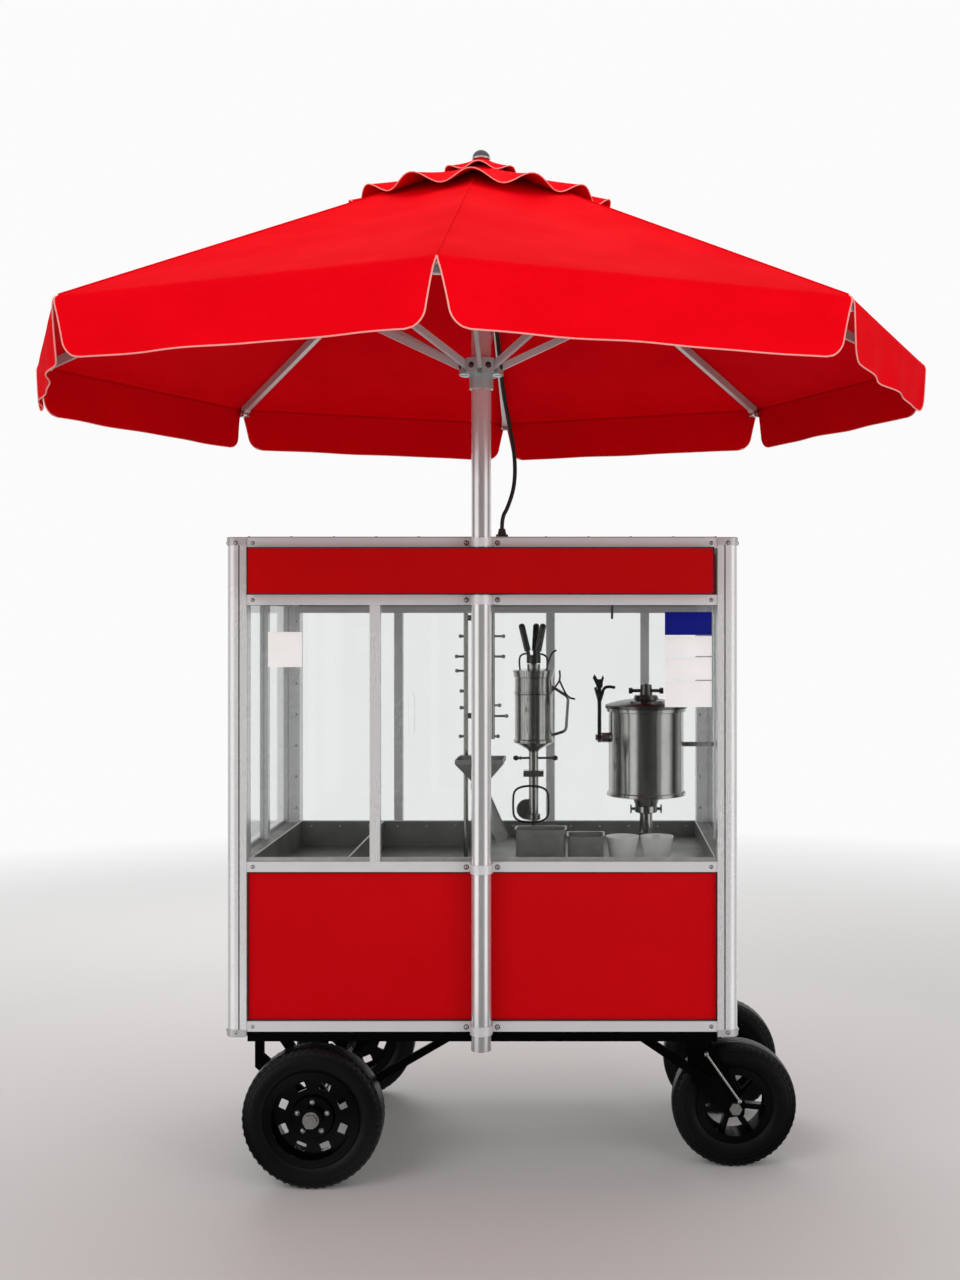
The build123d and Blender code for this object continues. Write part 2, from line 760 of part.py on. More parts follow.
def left_rim(center_y, outward):
    """Pressed disc rim with windows, raised rings and wheel nuts."""
    shell = rim_shell(left_tyre_width, left_rim_radius)
    profile = [(radius, center_y + offset) for radius, offset in shell]
    hub = left_axle_radius + bearing_play
    face_y = center_y + outward * 14
    spindle = Plane((left_axle_x, face_y, left_axle_z), x_dir=(1, 0, 0), z_dir=(0, outward, 0))
    with BuildPart() as rim:
        add(turned_along_y(left_axle_x, left_axle_z, profile))
        with BuildSketch(spindle):
            Circle(left_rim_radius - 6)
            with PolarLocations(window_circle, left_window_count, start_angle=22.5):
                RectangleRounded(window_depth, window_width, window_round, mode=Mode.SUBTRACT)
        extrude(amount=-6)
        with BuildSketch(spindle):
            for outer in raised_rings:
                Circle(outer)
                Circle(outer - ring_width, mode=Mode.SUBTRACT)
        extrude(amount=ring_rise)
        with BuildSketch(spindle):
            Circle(hub_dome)
        extrude(amount=8, taper=30)
        with BuildSketch(spindle.offset(-2)):
            with PolarLocations(nut_circle, left_nut_count, start_angle=18):
                RegularPolygon(6, 6)
        extrude(amount=13)
        with BuildSketch(Plane((left_axle_x, center_y, left_axle_z), x_dir=(1, 0, 0), z_dir=(0, 1, 0))):
            Circle(28)
        extrude(amount=left_hub_half, both=True)
        with BuildSketch(Plane((left_axle_x, center_y, left_axle_z), x_dir=(1, 0, 0), z_dir=(0, 1, 0))):
            Circle(hub)
        extrude(amount=left_hub_half + 5, both=True, mode=Mode.SUBTRACT)
    return rim


def right_rim(center_y):
    """Cast rim with straight spokes."""
    shell = rim_shell(right_tyre_width, right_rim_radius)
    profile = [(radius, center_y + offset) for radius, offset in shell]
    hub = right_bolt_radius + bearing_play
    middle = Plane((right_axle_x, center_y, right_axle_z), x_dir=(1, 0, 0), z_dir=(0, 1, 0))
    spoke_inner = 16
    spoke_outer = right_rim_radius - 4
    with BuildPart() as rim:
        add(turned_along_y(right_axle_x, right_axle_z, profile))
        with BuildSketch(middle):
            with PolarLocations((spoke_inner + spoke_outer) / 2, right_spoke_count, start_angle=12):
                Trapezoid(22, spoke_outer - spoke_inner, 84, 97, rotation=-90)
        extrude(amount=11, both=True)
        with BuildSketch(middle):
            Circle(25)
        extrude(amount=right_hub_half, both=True)
        with BuildSketch(middle):
            Circle(hub)
        extrude(amount=right_hub_half + 5, both=True, mode=Mode.SUBTRACT)
    return rim


left_wheel_places = (left_wheel_y, 2 * middle_y - left_wheel_y)
for name, place, outward in zip(("front", "back"), left_wheel_places, (-1, 1)):
    write(left_rim(place, outward), f"{name}_left_rim")
    rubber = tyre(left_axle_x, place, left_wheel_radius, left_tyre_width, left_rim_radius)
    write(rubber, f"{name}_left_tyre")
for name, place in zip(("front", "back"), right_wheel_places):
    write(right_rim(place), f"{name}_right_rim")
    rubber = tyre(right_axle_x, place, right_wheel_radius, right_tyre_width, right_rim_radius)
    write(rubber, f"{name}_right_tyre")

# Mast: one tube from below the bottom rail to the parasol hub
mast_low = chassis_bottom - mast_foot
mast_high = rib_hinge_height
with BuildPart() as mast:
    with BuildSketch(Plane.XY.offset(mast_low)):
        Circle(mast_radius)
        Circle(mast_radius - mast_wall, mode=Mode.SUBTRACT)
    extrude(amount=mast_high - mast_low)
write(mast, "mast")

# Saddle clamps hold the mast to the four front rails
strap = 3
ear = 22
clamp_height = rail_size - 3
clamp_pieces = []
for level in rail_levels:
    with BuildPart() as clamp:
        with BuildSketch(Plane.XY.offset(level + 1.5)):
            Circle(mast_radius + 0.1 + strap)
            with Locations((0, rail_front_y - (mast_radius + strap) / 2)):
                Rectangle(2 * (mast_radius + 0.1 + strap), mast_radius + strap)
            with Locations((0, rail_front_y)):
                ear_align = (Align.CENTER, Align.MAX)
                Rectangle(2 * (mast_radius + strap + ear), strap, align=ear_align)
                cut_align = (Align.CENTER, Align.MIN)
                Rectangle(400, 100, align=cut_align, mode=Mode.SUBTRACT)
            Circle(mast_radius + 0.1, mode=Mode.SUBTRACT)
        extrude(amount=clamp_height)
    clamp_pieces.append(clamp.part)
write_group(clamp_pieces, "mast_clamps")

# Parasol hub: eight slots with pin holes, bored to sit on the mast
rib_angles = [360 / rib_count * index for index in range(rib_count)]
hub_top = rib_hinge_height + 6.5
crown_z = rib_hinge_height + 14
hub_radius = rib_hinge_radius + 11
hub_pin = 3


def radial_plane(angle, offset=0.0):
    """Upright plane through the mast axis; local x runs outward and local y runs up."""
    turn = radians(angle)
    normal = (sin(turn), -cos(turn), 0)
    origin = (offset * normal[0], offset * normal[1], 0)
    return Plane(origin, x_dir=(cos(turn), sin(turn), 0), z_dir=normal)


with BuildPart() as top_hub:
    with BuildSketch(Plane.XY.offset(rib_hinge_height - 14)):
        Circle(hub_radius)
    extrude(amount=hub_top - rib_hinge_height + 14)
    with BuildSketch(Plane.XY.offset(hub_top)):
        Circle(30)
    extrude(amount=crown_z - hub_top)
    with BuildSketch(Plane.XY.offset(rib_hinge_height - 44)):
        Circle(mast_radius + 7)
    extrude(amount=34)
    for angle in rib_angles:
        slot_low = rib_hinge_height - 15
        with BuildSketch(radial_plane(angle)):
            with Locations((33, slot_low)):
                Rectangle(60, 40, align=(Align.MIN, Align.MIN), mode=Mode.ADD)
        extrude(amount=rib_width / 2 + 0.3, both=True, mode=Mode.SUBTRACT)
        with BuildSketch(radial_plane(angle)):
            with Locations((rib_hinge_radius, rib_hinge_height)):
                Circle(hub_pin + bearing_play)
        extrude(amount=13.5, both=True, mode=Mode.SUBTRACT)
    with BuildSketch(Plane.XY.offset(rib_hinge_height - 50)):
        Circle(mast_radius + 0.1)
    extrude(amount=50, mode=Mode.SUBTRACT)
write(top_hub, "top_hub")

# Linkage geometry of one rib and its strut, in the radial plane
slope = radians(rib_slope)
along = (cos(slope), -sin(slope))
below = (-sin(slope), -cos(slope))
pivot_x = rib_hinge_radius + strut_reach * along[0] + strut_drop * below[0]
pivot_z = rib_hinge_height + strut_reach * along[1] + strut_drop * below[1]
strut_length = hypot(pivot_x - runner_pivot_radius, pivot_z - runner_height)
strut_rise = degrees(acos((pivot_x - runner_pivot_radius) / strut_length))


def rib(angle):
    """Rib with its hinge pin, tip cap and the lug plates for the strut."""
    reach = rib_length - rib_height / 2
    middle = (rib_hinge_radius + along[0] * reach / 2, rib_hinge_height + along[1] * reach / 2)
    root = (pivot_x - below[0] * strut_drop, pivot_z - below[1] * strut_drop)
    with BuildPart() as piece:
        with BuildSketch(radial_plane(angle)):
            with Locations(Location((middle[0], middle[1], 0), (0, 0, -rib_slope))):
                SlotCenterToCenter(reach, rib_height)
        extrude(amount=rib_width / 2, both=True)
        with BuildSketch(radial_plane(angle)):
            with Locations((rib_hinge_radius, rib_hinge_height)):
                Circle(hub_pin)
        extrude(amount=13, both=True)
        tip = (
            rib_hinge_radius + along[0] * reach + below[0] * 1.3,
            rib_hinge_height + along[1] * reach + below[1] * 1.3,
        )
        with BuildSketch(radial_plane(angle)):
            with Locations(tip):
                Circle(rib_height / 2 + 1)
        extrude(amount=rib_width / 2 + 2, both=True)
        for side in (-1, 1):
            with BuildSketch(radial_plane(angle, side * (strut_width / 2 + 0.5))):
                with BuildLine():
                    left = (root[0] - along[0] * 20, root[1] - along[1] * 20)
                    right = (root[0] + along[0] * 20, root[1] + along[1] * 20)
                    foot = (pivot_x + below[0] * 7, pivot_z + below[1] * 7)
                    out_right = (foot[0] + along[0] * 8, foot[1] + along[1] * 8)
                    out_left = (foot[0] - along[0] * 8, foot[1] - along[1] * 8)
                    Polyline(left, right, out_right, out_left, close=True)
                make_face()
            extrude(amount=side * 3)
        with BuildSketch(radial_plane(angle)):
            with Locations((pivot_x, pivot_z)):
                Circle(pivot_pin)
        extrude(amount=strut_width / 2 + 3, both=True)
    return piece


def strut(angle):
    """Strut with its runner pin and a wide eye around the pin of the rib."""
    middle = ((pivot_x + runner_pivot_radius) / 2, (pivot_z + runner_height) / 2)
    with BuildPart() as piece:
        with BuildSketch(radial_plane(angle)):
            with Locations(Location((middle[0], middle[1], 0), (0, 0, strut_rise))):
                SlotCenterToCenter(strut_length, strut_height)
            with Locations((pivot_x, pivot_z)):
                Circle(open_pivot_hole + eye_wall)
                Circle(open_pivot_hole, mode=Mode.SUBTRACT)
        extrude(amount=strut_width / 2, both=True)
        with BuildSketch(radial_plane(angle)):
            with Locations((runner_pivot_radius, runner_height)):
                Circle(pivot_pin)
        extrude(amount=10, both=True)
    return piece


for index, angle in enumerate(rib_angles):
    write(rib(angle), f"rib_{index + 1}")
    write(strut(angle), f"strut_{index + 1}")

# Runner: slotted ring and sleeve that slide on the mast
with BuildPart() as runner:
    with BuildSketch(Plane.XY.offset(runner_height - 18)):
        Circle(runner_pivot_radius + 9.5)
    extrude(amount=36)
    with BuildSketch(Plane.XY.offset(runner_height - 52)):
        Circle(mast_radius + 5)
    extrude(amount=34)
    for angle in rib_angles:
        with BuildSketch(radial_plane(angle)):
            with Locations((33, runner_height - 19)):
                Rectangle(60, 60, align=(Align.MIN, Align.MIN))
        extrude(amount=strut_width / 2 + 0.3, both=True, mode=Mode.SUBTRACT)
        with BuildSketch(radial_plane(angle)):
            with Locations((runner_pivot_radius, runner_height)):
                Circle(pivot_pin + bearing_play)
        extrude(amount=10.5, both=True, mode=Mode.SUBTRACT)
    with BuildSketch(Plane.XY.offset(runner_height - 60)):
        Circle(mast_radius + 0.3)
    extrude(amount=120, mode=Mode.SUBTRACT)
write(runner, "runner")

# Canopy: eight flat gores over the ribs and a hanging flap on each side
gap_up = cloth_gap / cos(slope)
cloth_up = cloth_thickness / cos(slope)
rim_under = rib_hinge_height - (canopy_radius - rib_hinge_radius) * tan(slope) + gap_up
crown_radius = rib_hinge_radius + 1


def gore_solid(lift, grow):
    """Eight-sided cone that follows the ribs."""
    with BuildPart() as cone:
        with BuildSketch(Plane.XY.offset(rim_under + lift)):
            RegularPolygon(canopy_radius + grow, rib_count)
        with BuildSketch(Plane.XY.offset(crown_z + lift)):
            RegularPolygon(crown_radius + grow, rib_count)
        loft()
    return cone.part


apothem = canopy_radius * cos(radians(180 / rib_count))
side_half = canopy_radius * sin(radians(180 / rib_count))
with BuildPart() as canopy:
    add(gore_solid(cloth_up, 0))
    add(gore_solid(0, 0), mode=Mode.SUBTRACT)
    with Locations((0, 0, crown_z)):
        Cylinder(14, 20, mode=Mode.SUBTRACT)
    for angle in rib_angles:
        turn = radians(angle + 180 / rib_count)
        outward = (cos(turn), sin(turn), 0)
        middle = (apothem * outward[0], apothem * outward[1], rim_under)
        face = Plane(middle, x_dir=(-sin(turn), cos(turn), 0), z_dir=outward)
        flap = side_half - 9
        with BuildSketch(face):
            with BuildLine():
                low = -valance_height
                Line((-side_half, cloth_up), (side_half, cloth_up))
                Line((side_half, cloth_up), (side_half, -2))
                ThreePointArc((side_half, -2), (flap + 2, low * 0.45), (flap, low + valance_round))
                CenterArc((flap - valance_round, low + valance_round), valance_round, -90, 90)
                Line((flap - valance_round, low), (valance_round - flap, low))
                CenterArc((valance_round - flap, low + valance_round), valance_round, 180, 90)
                ThreePointArc((-flap, low + valance_round), (-flap - 2, low * 0.45), (-side_half, -2))
                Line((-side_half, -2), (-side_half, cloth_up))
            make_face()
        extrude(amount=-cloth_thickness)
write(canopy, "canopy")


# Vent tiers: two ruffled caps, each a loft through upright sections
def ruffle(start_z, middle_point, hem_radius, hem_z, waves, wave_out, wave_up):
    """Ruffled cap clamped at the top; its hem rises and falls four sections to a wave."""
    sections = 4 * waves
    halves = []
    for first in (0, sections // 2):
        with BuildPart() as half:
            for step in range(first, first + sections // 2 + 1):
                sign = 1 if step % 4 in (0, 1) else -1
                hem = (hem_radius + sign * wave_out, hem_z + sign * wave_up)
                waist = (middle_point[0], middle_point[1] + sign * wave_up * 0.3)
                start = (14, start_z)
                shoulder = (crown_radius + 4, start_z)
                upper = [(x, z + cloth_thickness) for x, z in (hem, waist, shoulder, start)]
                with BuildSketch(radial_plane(360 / sections * step)):
                    with BuildLine():
                        Polyline(start, shoulder, waist, hem, *upper, close=True)
                    make_face()
            loft(ruled=True)
        halves.append(half.part)
    return halves


tier_z = crown_z + cloth_up + 0.1
cap_z = tier_z + cloth_thickness + 0.1
tier_drop = (tier_radius - crown_radius) * tan(slope)
tier_middle = (tier_radius * 0.55, tier_z - tier_drop * 0.40)
cap_middle = (cap_radius * 0.75, cap_z)
tier_pieces = ruffle(tier_z, tier_middle, tier_radius, tier_z - tier_drop + 17, 2 * rib_count, 6, 13)
tier_pieces += ruffle(cap_z, cap_middle, cap_radius, cap_z - 5, rib_count, 4, 7)
write_group(tier_pieces, "vent_tiers")

# Finial: domed knob screwed down over the cloth layers
finial_z = cap_z + cloth_thickness + 0.4
with BuildPart() as finial:
    with BuildSketch(Plane.XZ):
        with BuildLine():
            Line((0, crown_z), (10, crown_z))
            Line((10, crown_z), (10, finial_z))
            Line((10, finial_z), (18, finial_z))
            Line((18, finial_z), (18, finial_z + 5))
            Line((18, finial_z + 5), (13, finial_z + 9))
            Line((13, finial_z + 9), (13, finial_z + 14))
            Line((13, finial_z + 14), (22, finial_z + 21))
            CenterArc((0, finial_z + 21), 22, 0, 90)
            Line((0, finial_z + 43), (0, crown_z))
        make_face()
    revolve(axis=Axis.Z)
write(finial, "finial")

# Cord from a clip high on the mast down to a gland on the roof
clip_angle = 67.5
clip_z = rib_hinge_height - clip_drop
clip_reach = 58
clip_turn = radians(clip_angle)
gland_height = 22
gland_x = 46
gland_y = 74
gland_z = roof_z + sheet_thickness
cord_points = (
    (clip_reach * cos(clip_turn), clip_reach * sin(clip_turn), clip_z - 0.1),
    (clip_reach * cos(clip_turn), clip_reach * sin(clip_turn), clip_z - 64),
    (29, 71, 2140),
    (38, 91, 2050),
    (46, 102, 1962),
    (62, 106, 1876),
    (77, 101, 1794),
    (77, 90, 1720),
    (60, 79, 1664),
    (gland_x, gland_y, gland_z + gland_height + 28),
    (gland_x, gland_y, gland_z + gland_height + 0.1),
)


def bend_radii(points):
    """Fillet radius at each inner point: under half of the shorter run beside it."""
    radii = []
    for index in range(1, len(points) - 1):
        before = Vector(*points[index]) - Vector(*points[index - 1])
        after = Vector(*points[index + 1]) - Vector(*points[index])
        turn = radians(before.get_angle(after))
        shorter = min(before.length, after.length)
        radii.append(0.45 * shorter / tan(turn / 2))
    return radii


cord_radii = bend_radii(cord_points)
with BuildPart() as lamp_cord:
    with BuildLine():
        cord_path = FilletPolyline(*cord_points, radius=cord_radii)
    with BuildSketch(Plane(cord_points[0], z_dir=cord_path % 0)):
        Circle(cord_diameter / 2)
    sweep()
write(lamp_cord, "lamp_cord")
cord_length = sum(edge.length for edge in cord_path.edges())
print("cord bend radii", [round(radius) for radius in cord_radii], "length", round(cord_length))

with BuildPart() as clip:
    clip_plane = Plane((0, 0, clip_z), x_dir=(cos(clip_turn), sin(clip_turn), 0), z_dir=(0, 0, 1))
    with BuildSketch(clip_plane):
        Circle(mast_radius + 4)
        with Locations((clip_reach / 2, 0)):
            Rectangle(clip_reach, 22)
        with Locations((clip_reach, 0)):
            Circle(11)
        Circle(mast_radius + 0.1, mode=Mode.SUBTRACT)
    extrude(amount=24)
with BuildPart() as gland:
    with BuildSketch(Plane((gland_x, gland_y, gland_z))):
        RegularPolygon(15, 6)
    extrude(amount=8)
    with BuildSketch(Plane((gland_x, gland_y, gland_z + 8))):
        Circle(11)
    extrude(amount=gland_height - 8, taper=12)
write_group([clip.part, gland.part], "cord_glands")


# Churro press: barrel on a stand, with a screw that drives the plunger
def turned(center_x, center_y, profile):
    """Solid of revolution about an upright line, from radius and height pairs."""
    with BuildPart() as piece:
        with BuildSketch(Plane((center_x, center_y, 0), x_dir=(1, 0, 0), z_dir=(0, -1, 0))):
            with BuildLine():
                Polyline(*profile, close=True)
            make_face()
        revolve(axis=Axis((center_x, center_y, 0), (0, 0, 1)))
    return piece.part


press_floor = machine_floor_z + 305
press_top = press_floor + 184
press_wall = 3
press_bore = press_radius - press_wall
spindle_radius = 8
nozzle_radius = 13
nozzle_end = press_floor - 205
clamp_z = press_floor - 82
clamp_size = (53, 40, 16)
disc_radius = 27
disc_thickness = 12
disc_lap = 9
press_outline = [
    (press_bore, press_top),
    (press_radius + 3, press_top),
    (press_radius + 3, press_top - 10),
    (press_radius, press_top - 12),
    (press_radius, press_floor + 136),
    (press_radius + 2, press_floor + 135),
    (press_radius + 2, press_floor + 130),
    (press_radius, press_floor + 129),
    (press_radius, press_floor + 10),
    (press_radius + 3, press_floor + 8),
    (press_radius + 3, press_floor),
    (nozzle_radius + 6, press_floor - 18),
    (nozzle_radius, press_floor - 24),
    (nozzle_radius, nozzle_end + 16),
    (nozzle_radius + 5, nozzle_end + 14),
    (nozzle_radius + 5, nozzle_end),
    (nozzle_radius - 5, nozzle_end),
    (nozzle_radius - 4, press_floor - 14),
    (press_bore, press_floor + 6),
]
column_y = machine_y + press_radius + 14
with BuildPart() as press_body:
    add(turned(press_x, machine_y, press_outline))
    lid = [
        (spindle_radius + bearing_play, press_top),
        (press_radius + 5, press_top),
        (press_radius + 5, press_top + 8),
        (18, press_top + 12),
        (18, press_top + 24),
        (spindle_radius + bearing_play, press_top + 24),
    ]
    add(turned(press_x, machine_y, lid))
    with Locations((press_x, machine_y, clamp_z)):
        Box(*clamp_size)
    disc_back = machine_y + disc_thickness / 2
    disc_middle = (press_x + disc_lap - disc_radius, disc_back, nozzle_end + disc_radius)
    with BuildSketch(Plane(disc_middle, x_dir=(1, 0, 0), z_dir=(0, -1, 0))):
        Circle(disc_radius)
    extrude(amount=disc_thickness)
    with Locations((press_x, column_y, machine_floor_z)):
        Cylinder(8, press_floor + 150 - machine_floor_z, align=(Align.CENTER, Align.CENTER, Align.MIN))
    with Locations((press_x, column_y - 12, machine_floor_z)):
        Cylinder(48, 8, align=(Align.CENTER, Align.CENTER, Align.MIN))
    for height in (clamp_z, press_floor + 60, press_floor + 140):
        with Locations((press_x, column_y - 8, height)):
            Box(14, 22 if height > press_floor else 72, 14)
    with Locations((press_x, machine_y, press_floor + 92)):
        Cylinder(press_bore, 170, mode=Mode.SUBTRACT)
    with Locations((press_x, machine_y, nozzle_end)):
        bore_align = (Align.CENTER, Align.CENTER, Align.MIN)
        Cylinder(nozzle_radius - 5, press_floor - nozzle_end, align=bore_align, mode=Mode.SUBTRACT)
    with BuildLine():
        handle_points = (
            (46, press_floor + 18),
            (86, press_floor + 30),
            (92, press_floor + 120),
            (46, press_floor + 150),
        )
        path_points = [(press_x + x, machine_y, z) for x, z in handle_points]
        handle_path = FilletPolyline(*path_points, radius=16)
    with BuildSketch(Plane(path_points[0], z_dir=handle_path % 0)):
        Circle(4)
    sweep(path=handle_path)
    with Locations((press_x, machine_y, press_floor + 92)):
        Cylinder(press_bore, 170, mode=Mode.SUBTRACT)
write(press_body, "press_body")

spindle_low = press_floor + 14
handle_z = press_top + 26
grip_lean = 14
with BuildPart() as press_handle:
    with Locations((press_x, machine_y, spindle_low)):
        Cylinder(spindle_radius, handle_z - spindle_low + 6, align=(Align.CENTER, Align.CENTER, Align.MIN))
    with Locations((press_x, machine_y, handle_z)):
        Cylinder(19, 22, align=(Align.CENTER, Align.CENTER, Align.MIN))
    for turn in (80, 200, 320):
        lean = radians(grip_lean)
        outward = Vector(cos(radians(turn)), sin(radians(turn)), 0)
        toward = outward * sin(lean) + Vector(0, 0, cos(lean))
        start = Vector(press_x, machine_y, handle_z + 10) + outward * 11
        with BuildSketch(Plane(start, z_dir=toward)):
            Circle(5)
        extrude(amount=40)
        with BuildSketch(Plane(start + toward * 24, z_dir=toward)):
            Circle(8.5)
        extrude(amount=66)
        with Locations(start + toward * 90):
            Sphere(8.5)
write(press_handle, "press_handle")

with BuildPart() as press_plunger:
    plunger_z = press_top - 32
    with Locations((press_x, machine_y, plunger_z)):
        Cylinder(press_bore - 0.5, 24, align=(Align.CENTER, Align.CENTER, Align.MIN))
        Cylinder(spindle_radius + bearing_play, 80, mode=Mode.SUBTRACT)
    with Locations((press_x, machine_y, plunger_z + 12)):
        Cylinder(press_bore - 0.5, 5)
        Cylinder(press_bore - 3, 5, mode=Mode.SUBTRACT)
write(press_plunger, "press_plunger")

# Filling dispenser: open tank with a lift-off lid, valve, spout and side lever
tank_floor = machine_floor_z + 170
tank_top = tank_floor + 226
tank_wall = 2
spout_end = tank_floor - 104
tank_outline = [
    (filler_radius - tank_wall, tank_top),
    (filler_radius + 6, tank_top),
    (filler_radius + 6, tank_top - 8),
    (filler_radius, tank_top - 10),
    (filler_radius, tank_floor + 6),
    (filler_radius + 5, tank_floor + 4),
    (filler_radius + 5, tank_floor - 4),
    (filler_radius - 4, tank_floor - 6),
    (34, tank_floor - 16),
    (28, tank_floor - 34),
    (30, tank_floor - 34),
    (30, tank_floor - 50),
    (17, tank_floor - 54),
    (17, spout_end),
    (12, spout_end),
    (12, tank_floor - 40),
    (26, tank_floor - 14),
    (filler_radius - tank_wall, tank_floor),
]
lever_x = filler_x - filler_radius - 24.5
lever_z = tank_floor + 148
lever_eye = 10
lever_knob = 17
with BuildPart() as filler_tank:
    add(turned(filler_x, machine_y, tank_outline))
    boss_start = filler_x - filler_radius + 1
    with BuildSketch(yz_plane(boss_start, machine_y, lever_z)):
        Circle(13)
    extrude(amount=lever_x + lever_eye / 2 + 0.5 - boss_start)
    with BuildSketch(yz_plane(boss_start, machine_y, lever_z)):
        Circle(5)
    extrude(amount=lever_x - lever_eye / 2 - 4 - boss_start)
    with BuildSketch(yz_plane(lever_x - lever_eye / 2 - 0.5, machine_y, lever_z)):
        RegularPolygon(9, 6)
    extrude(amount=-5)
    arm_y = middle_y
    arm_z = tank_floor + 127
    arm_half = 6
    arm_start = filler_x + sqrt((filler_radius - 1) ** 2 - (arm_y - machine_y + arm_half) ** 2)
    arm_end = side_rail_x - rail_size / 2
    add(block((arm_start, arm_y - arm_half, arm_z - 6), (arm_end, arm_y + arm_half, arm_z + 6)))
    bracket_start = machine_y + filler_radius - 5
    bracket_end = back_panel_y - rail_size / 2
    bracket_low = (rear_right - 10, bracket_start, arm_z - 24)
    add(block(bracket_low, (rear_right + 10, bracket_end, arm_z - 4)))
    with Locations((filler_x, machine_y, (tank_top + tank_floor) / 2)):
        Cylinder(filler_radius - tank_wall, tank_top - tank_floor, mode=Mode.SUBTRACT)
    for side in (-1, 1):
        with BuildSketch(yz_plane(filler_x + side * 29, machine_y, tank_floor - 42)):
            Circle(4)
        extrude(amount=side * 10)
        wing_middle = (filler_x + side * 40, machine_y, tank_floor - 42)
        with Locations(wing_middle):
            Box(4, 8, 22)
write(filler_tank, "filler_tank")

lid_z = tank_top + 0.1
with BuildPart() as filler_lid:
    with BuildSketch(Plane((filler_x, machine_y, 0), x_dir=(1, 0, 0), z_dir=(0, -1, 0))):
        with BuildLine():
            Line((0, lid_z + 20), (34, lid_z + 20))
            ThreePointArc((34, lid_z + 20), (70, lid_z + 15), (filler_radius - 6, lid_z + 8))
            Line((filler_radius - 6, lid_z + 8), (filler_radius - 6, lid_z - 12))
            Line((filler_radius - 6, lid_z - 12), (filler_radius - 3, lid_z - 12))
            Line((filler_radius - 3, lid_z - 12), (filler_radius - 3, lid_z))
            Line((filler_radius - 3, lid_z), (filler_radius + 9, lid_z))
            Line((filler_radius + 9, lid_z), (filler_radius + 9, lid_z + 9))
            ThreePointArc((filler_radius + 9, lid_z + 9), (72, lid_z + 19), (34, lid_z + 24))
            Line((34, lid_z + 24), (30, lid_z + 34))
            Line((30, lid_z + 34), (17, lid_z + 36))
            Line((17, lid_z + 36), (15, lid_z + 62))
            Line((15, lid_z + 62), (0, lid_z + 66))
            Line((0, lid_z + 66), (0, lid_z + 20))
        make_face()
    revolve(axis=Axis((filler_x, machine_y, 0), (0, 0, 1)))
    with BuildSketch(yz_plane(filler_x, machine_y, lid_z + 46)):
        Circle(4.5)
    extrude(amount=40, both=True)
    for side in (-1, 1):
        with BuildSketch(yz_plane(filler_x + side * 36, machine_y, lid_z + 46)):
            Circle(8)
        extrude(amount=side * 10)
write(filler_lid, "filler_lid")

wing_thickness = 8
wing_outline = [
    (-6, 134),
    (-18, 158),
    (-13, 168),
    (-3, 152),
    (3, 152),
    (9, 166),
    (12, 158),
    (6, 134),
]
with BuildPart() as filler_lever:
    lever_plane = yz_plane(lever_x, machine_y, lever_z)
    with BuildSketch(lever_plane):
        Circle(13)
        with Locations((0, 60)):
            Rectangle(11, 120)
        with Locations((0, 126)):
            SlotOverall(58, 20, rotation=90)
        Circle(5 + bearing_play, mode=Mode.SUBTRACT)
    extrude(amount=lever_eye / 2, both=True)
    with BuildSketch(lever_plane):
        with Locations((0, 140)):
            Circle(8)
    extrude(amount=lever_knob / 2, both=True)
    with BuildSketch(Plane((lever_x, machine_y, lever_z), x_dir=(1, 0, 0), z_dir=(0, -1, 0))):
        with BuildLine():
            Polyline(*wing_outline, close=True)
        make_face()
    extrude(amount=wing_thickness / 2, both=True)
write(filler_lever, "filler_lever")

# Bowls on the machine deck
cup_wall = 2
for name, place in zip(("cup_left", "cup_right"), cup_x):
    foot = cup_radius * 0.78
    cup_floor = machine_floor_z
    cup_outline = [
        (0, cup_floor),
        (foot, cup_floor),
        (cup_radius, cup_floor + cup_height),
        (cup_radius - cup_wall, cup_floor + cup_height),
        (foot - cup_wall, cup_floor + cup_wall),
        (0, cup_floor + cup_wall),
    ]
    with BuildPart() as cup:
        add(turned(place, cup_y, cup_outline))
    write(cup, name)

# Utensil rack: a long rod in the bin and a short one beside it, with pegs and cross bars
rack_top = header_rail_z - 18
short_rod_end = glass_z + 285
long_rod_pegs = ((0.90, 8), (0.815, 18), (0.755, 17), (0.67, 6), (0.60, 6), (0.48, 8))
short_rod_pegs = ((0.90, 22), (0.815, 22), (0.61, 12), (0.565, 30), (0.48, 8))
rods = (
    (rack_x[0], bin_floor_z, -1, long_rod_pegs),
    (rack_x[1], short_rod_end, 1, short_rod_pegs),
)
with BuildPart() as utensil_rack:
    rod_align = (Align.CENTER, Align.CENTER, Align.MIN)
    for place, low_end, side, pegs in rods:
        with Locations((place, rack_y, low_end)):
            Cylinder(rack_rod, rack_top - low_end, align=rod_align)
        for share, length in pegs:
            height = glass_z + share * (rack_top - glass_z)
            with BuildSketch(yz_plane(place, rack_y, height)):
                Circle(3)
            extrude(amount=side * (rack_rod + length))
            with Locations((place + side * (rack_rod + length), rack_y, height)):
                Sphere(5)
    with Locations((rack_x[0], rack_y, bin_floor_z)):
        Cylinder(22, 5, align=rod_align)
    for height in (rack_top - 14, short_rod_end + 60):
        with Locations(((rack_x[0] + rack_x[1]) / 2, rack_y, height)):
            Box(rack_x[1] - rack_x[0], 8, 14)
write(utensil_rack, "utensil_rack")

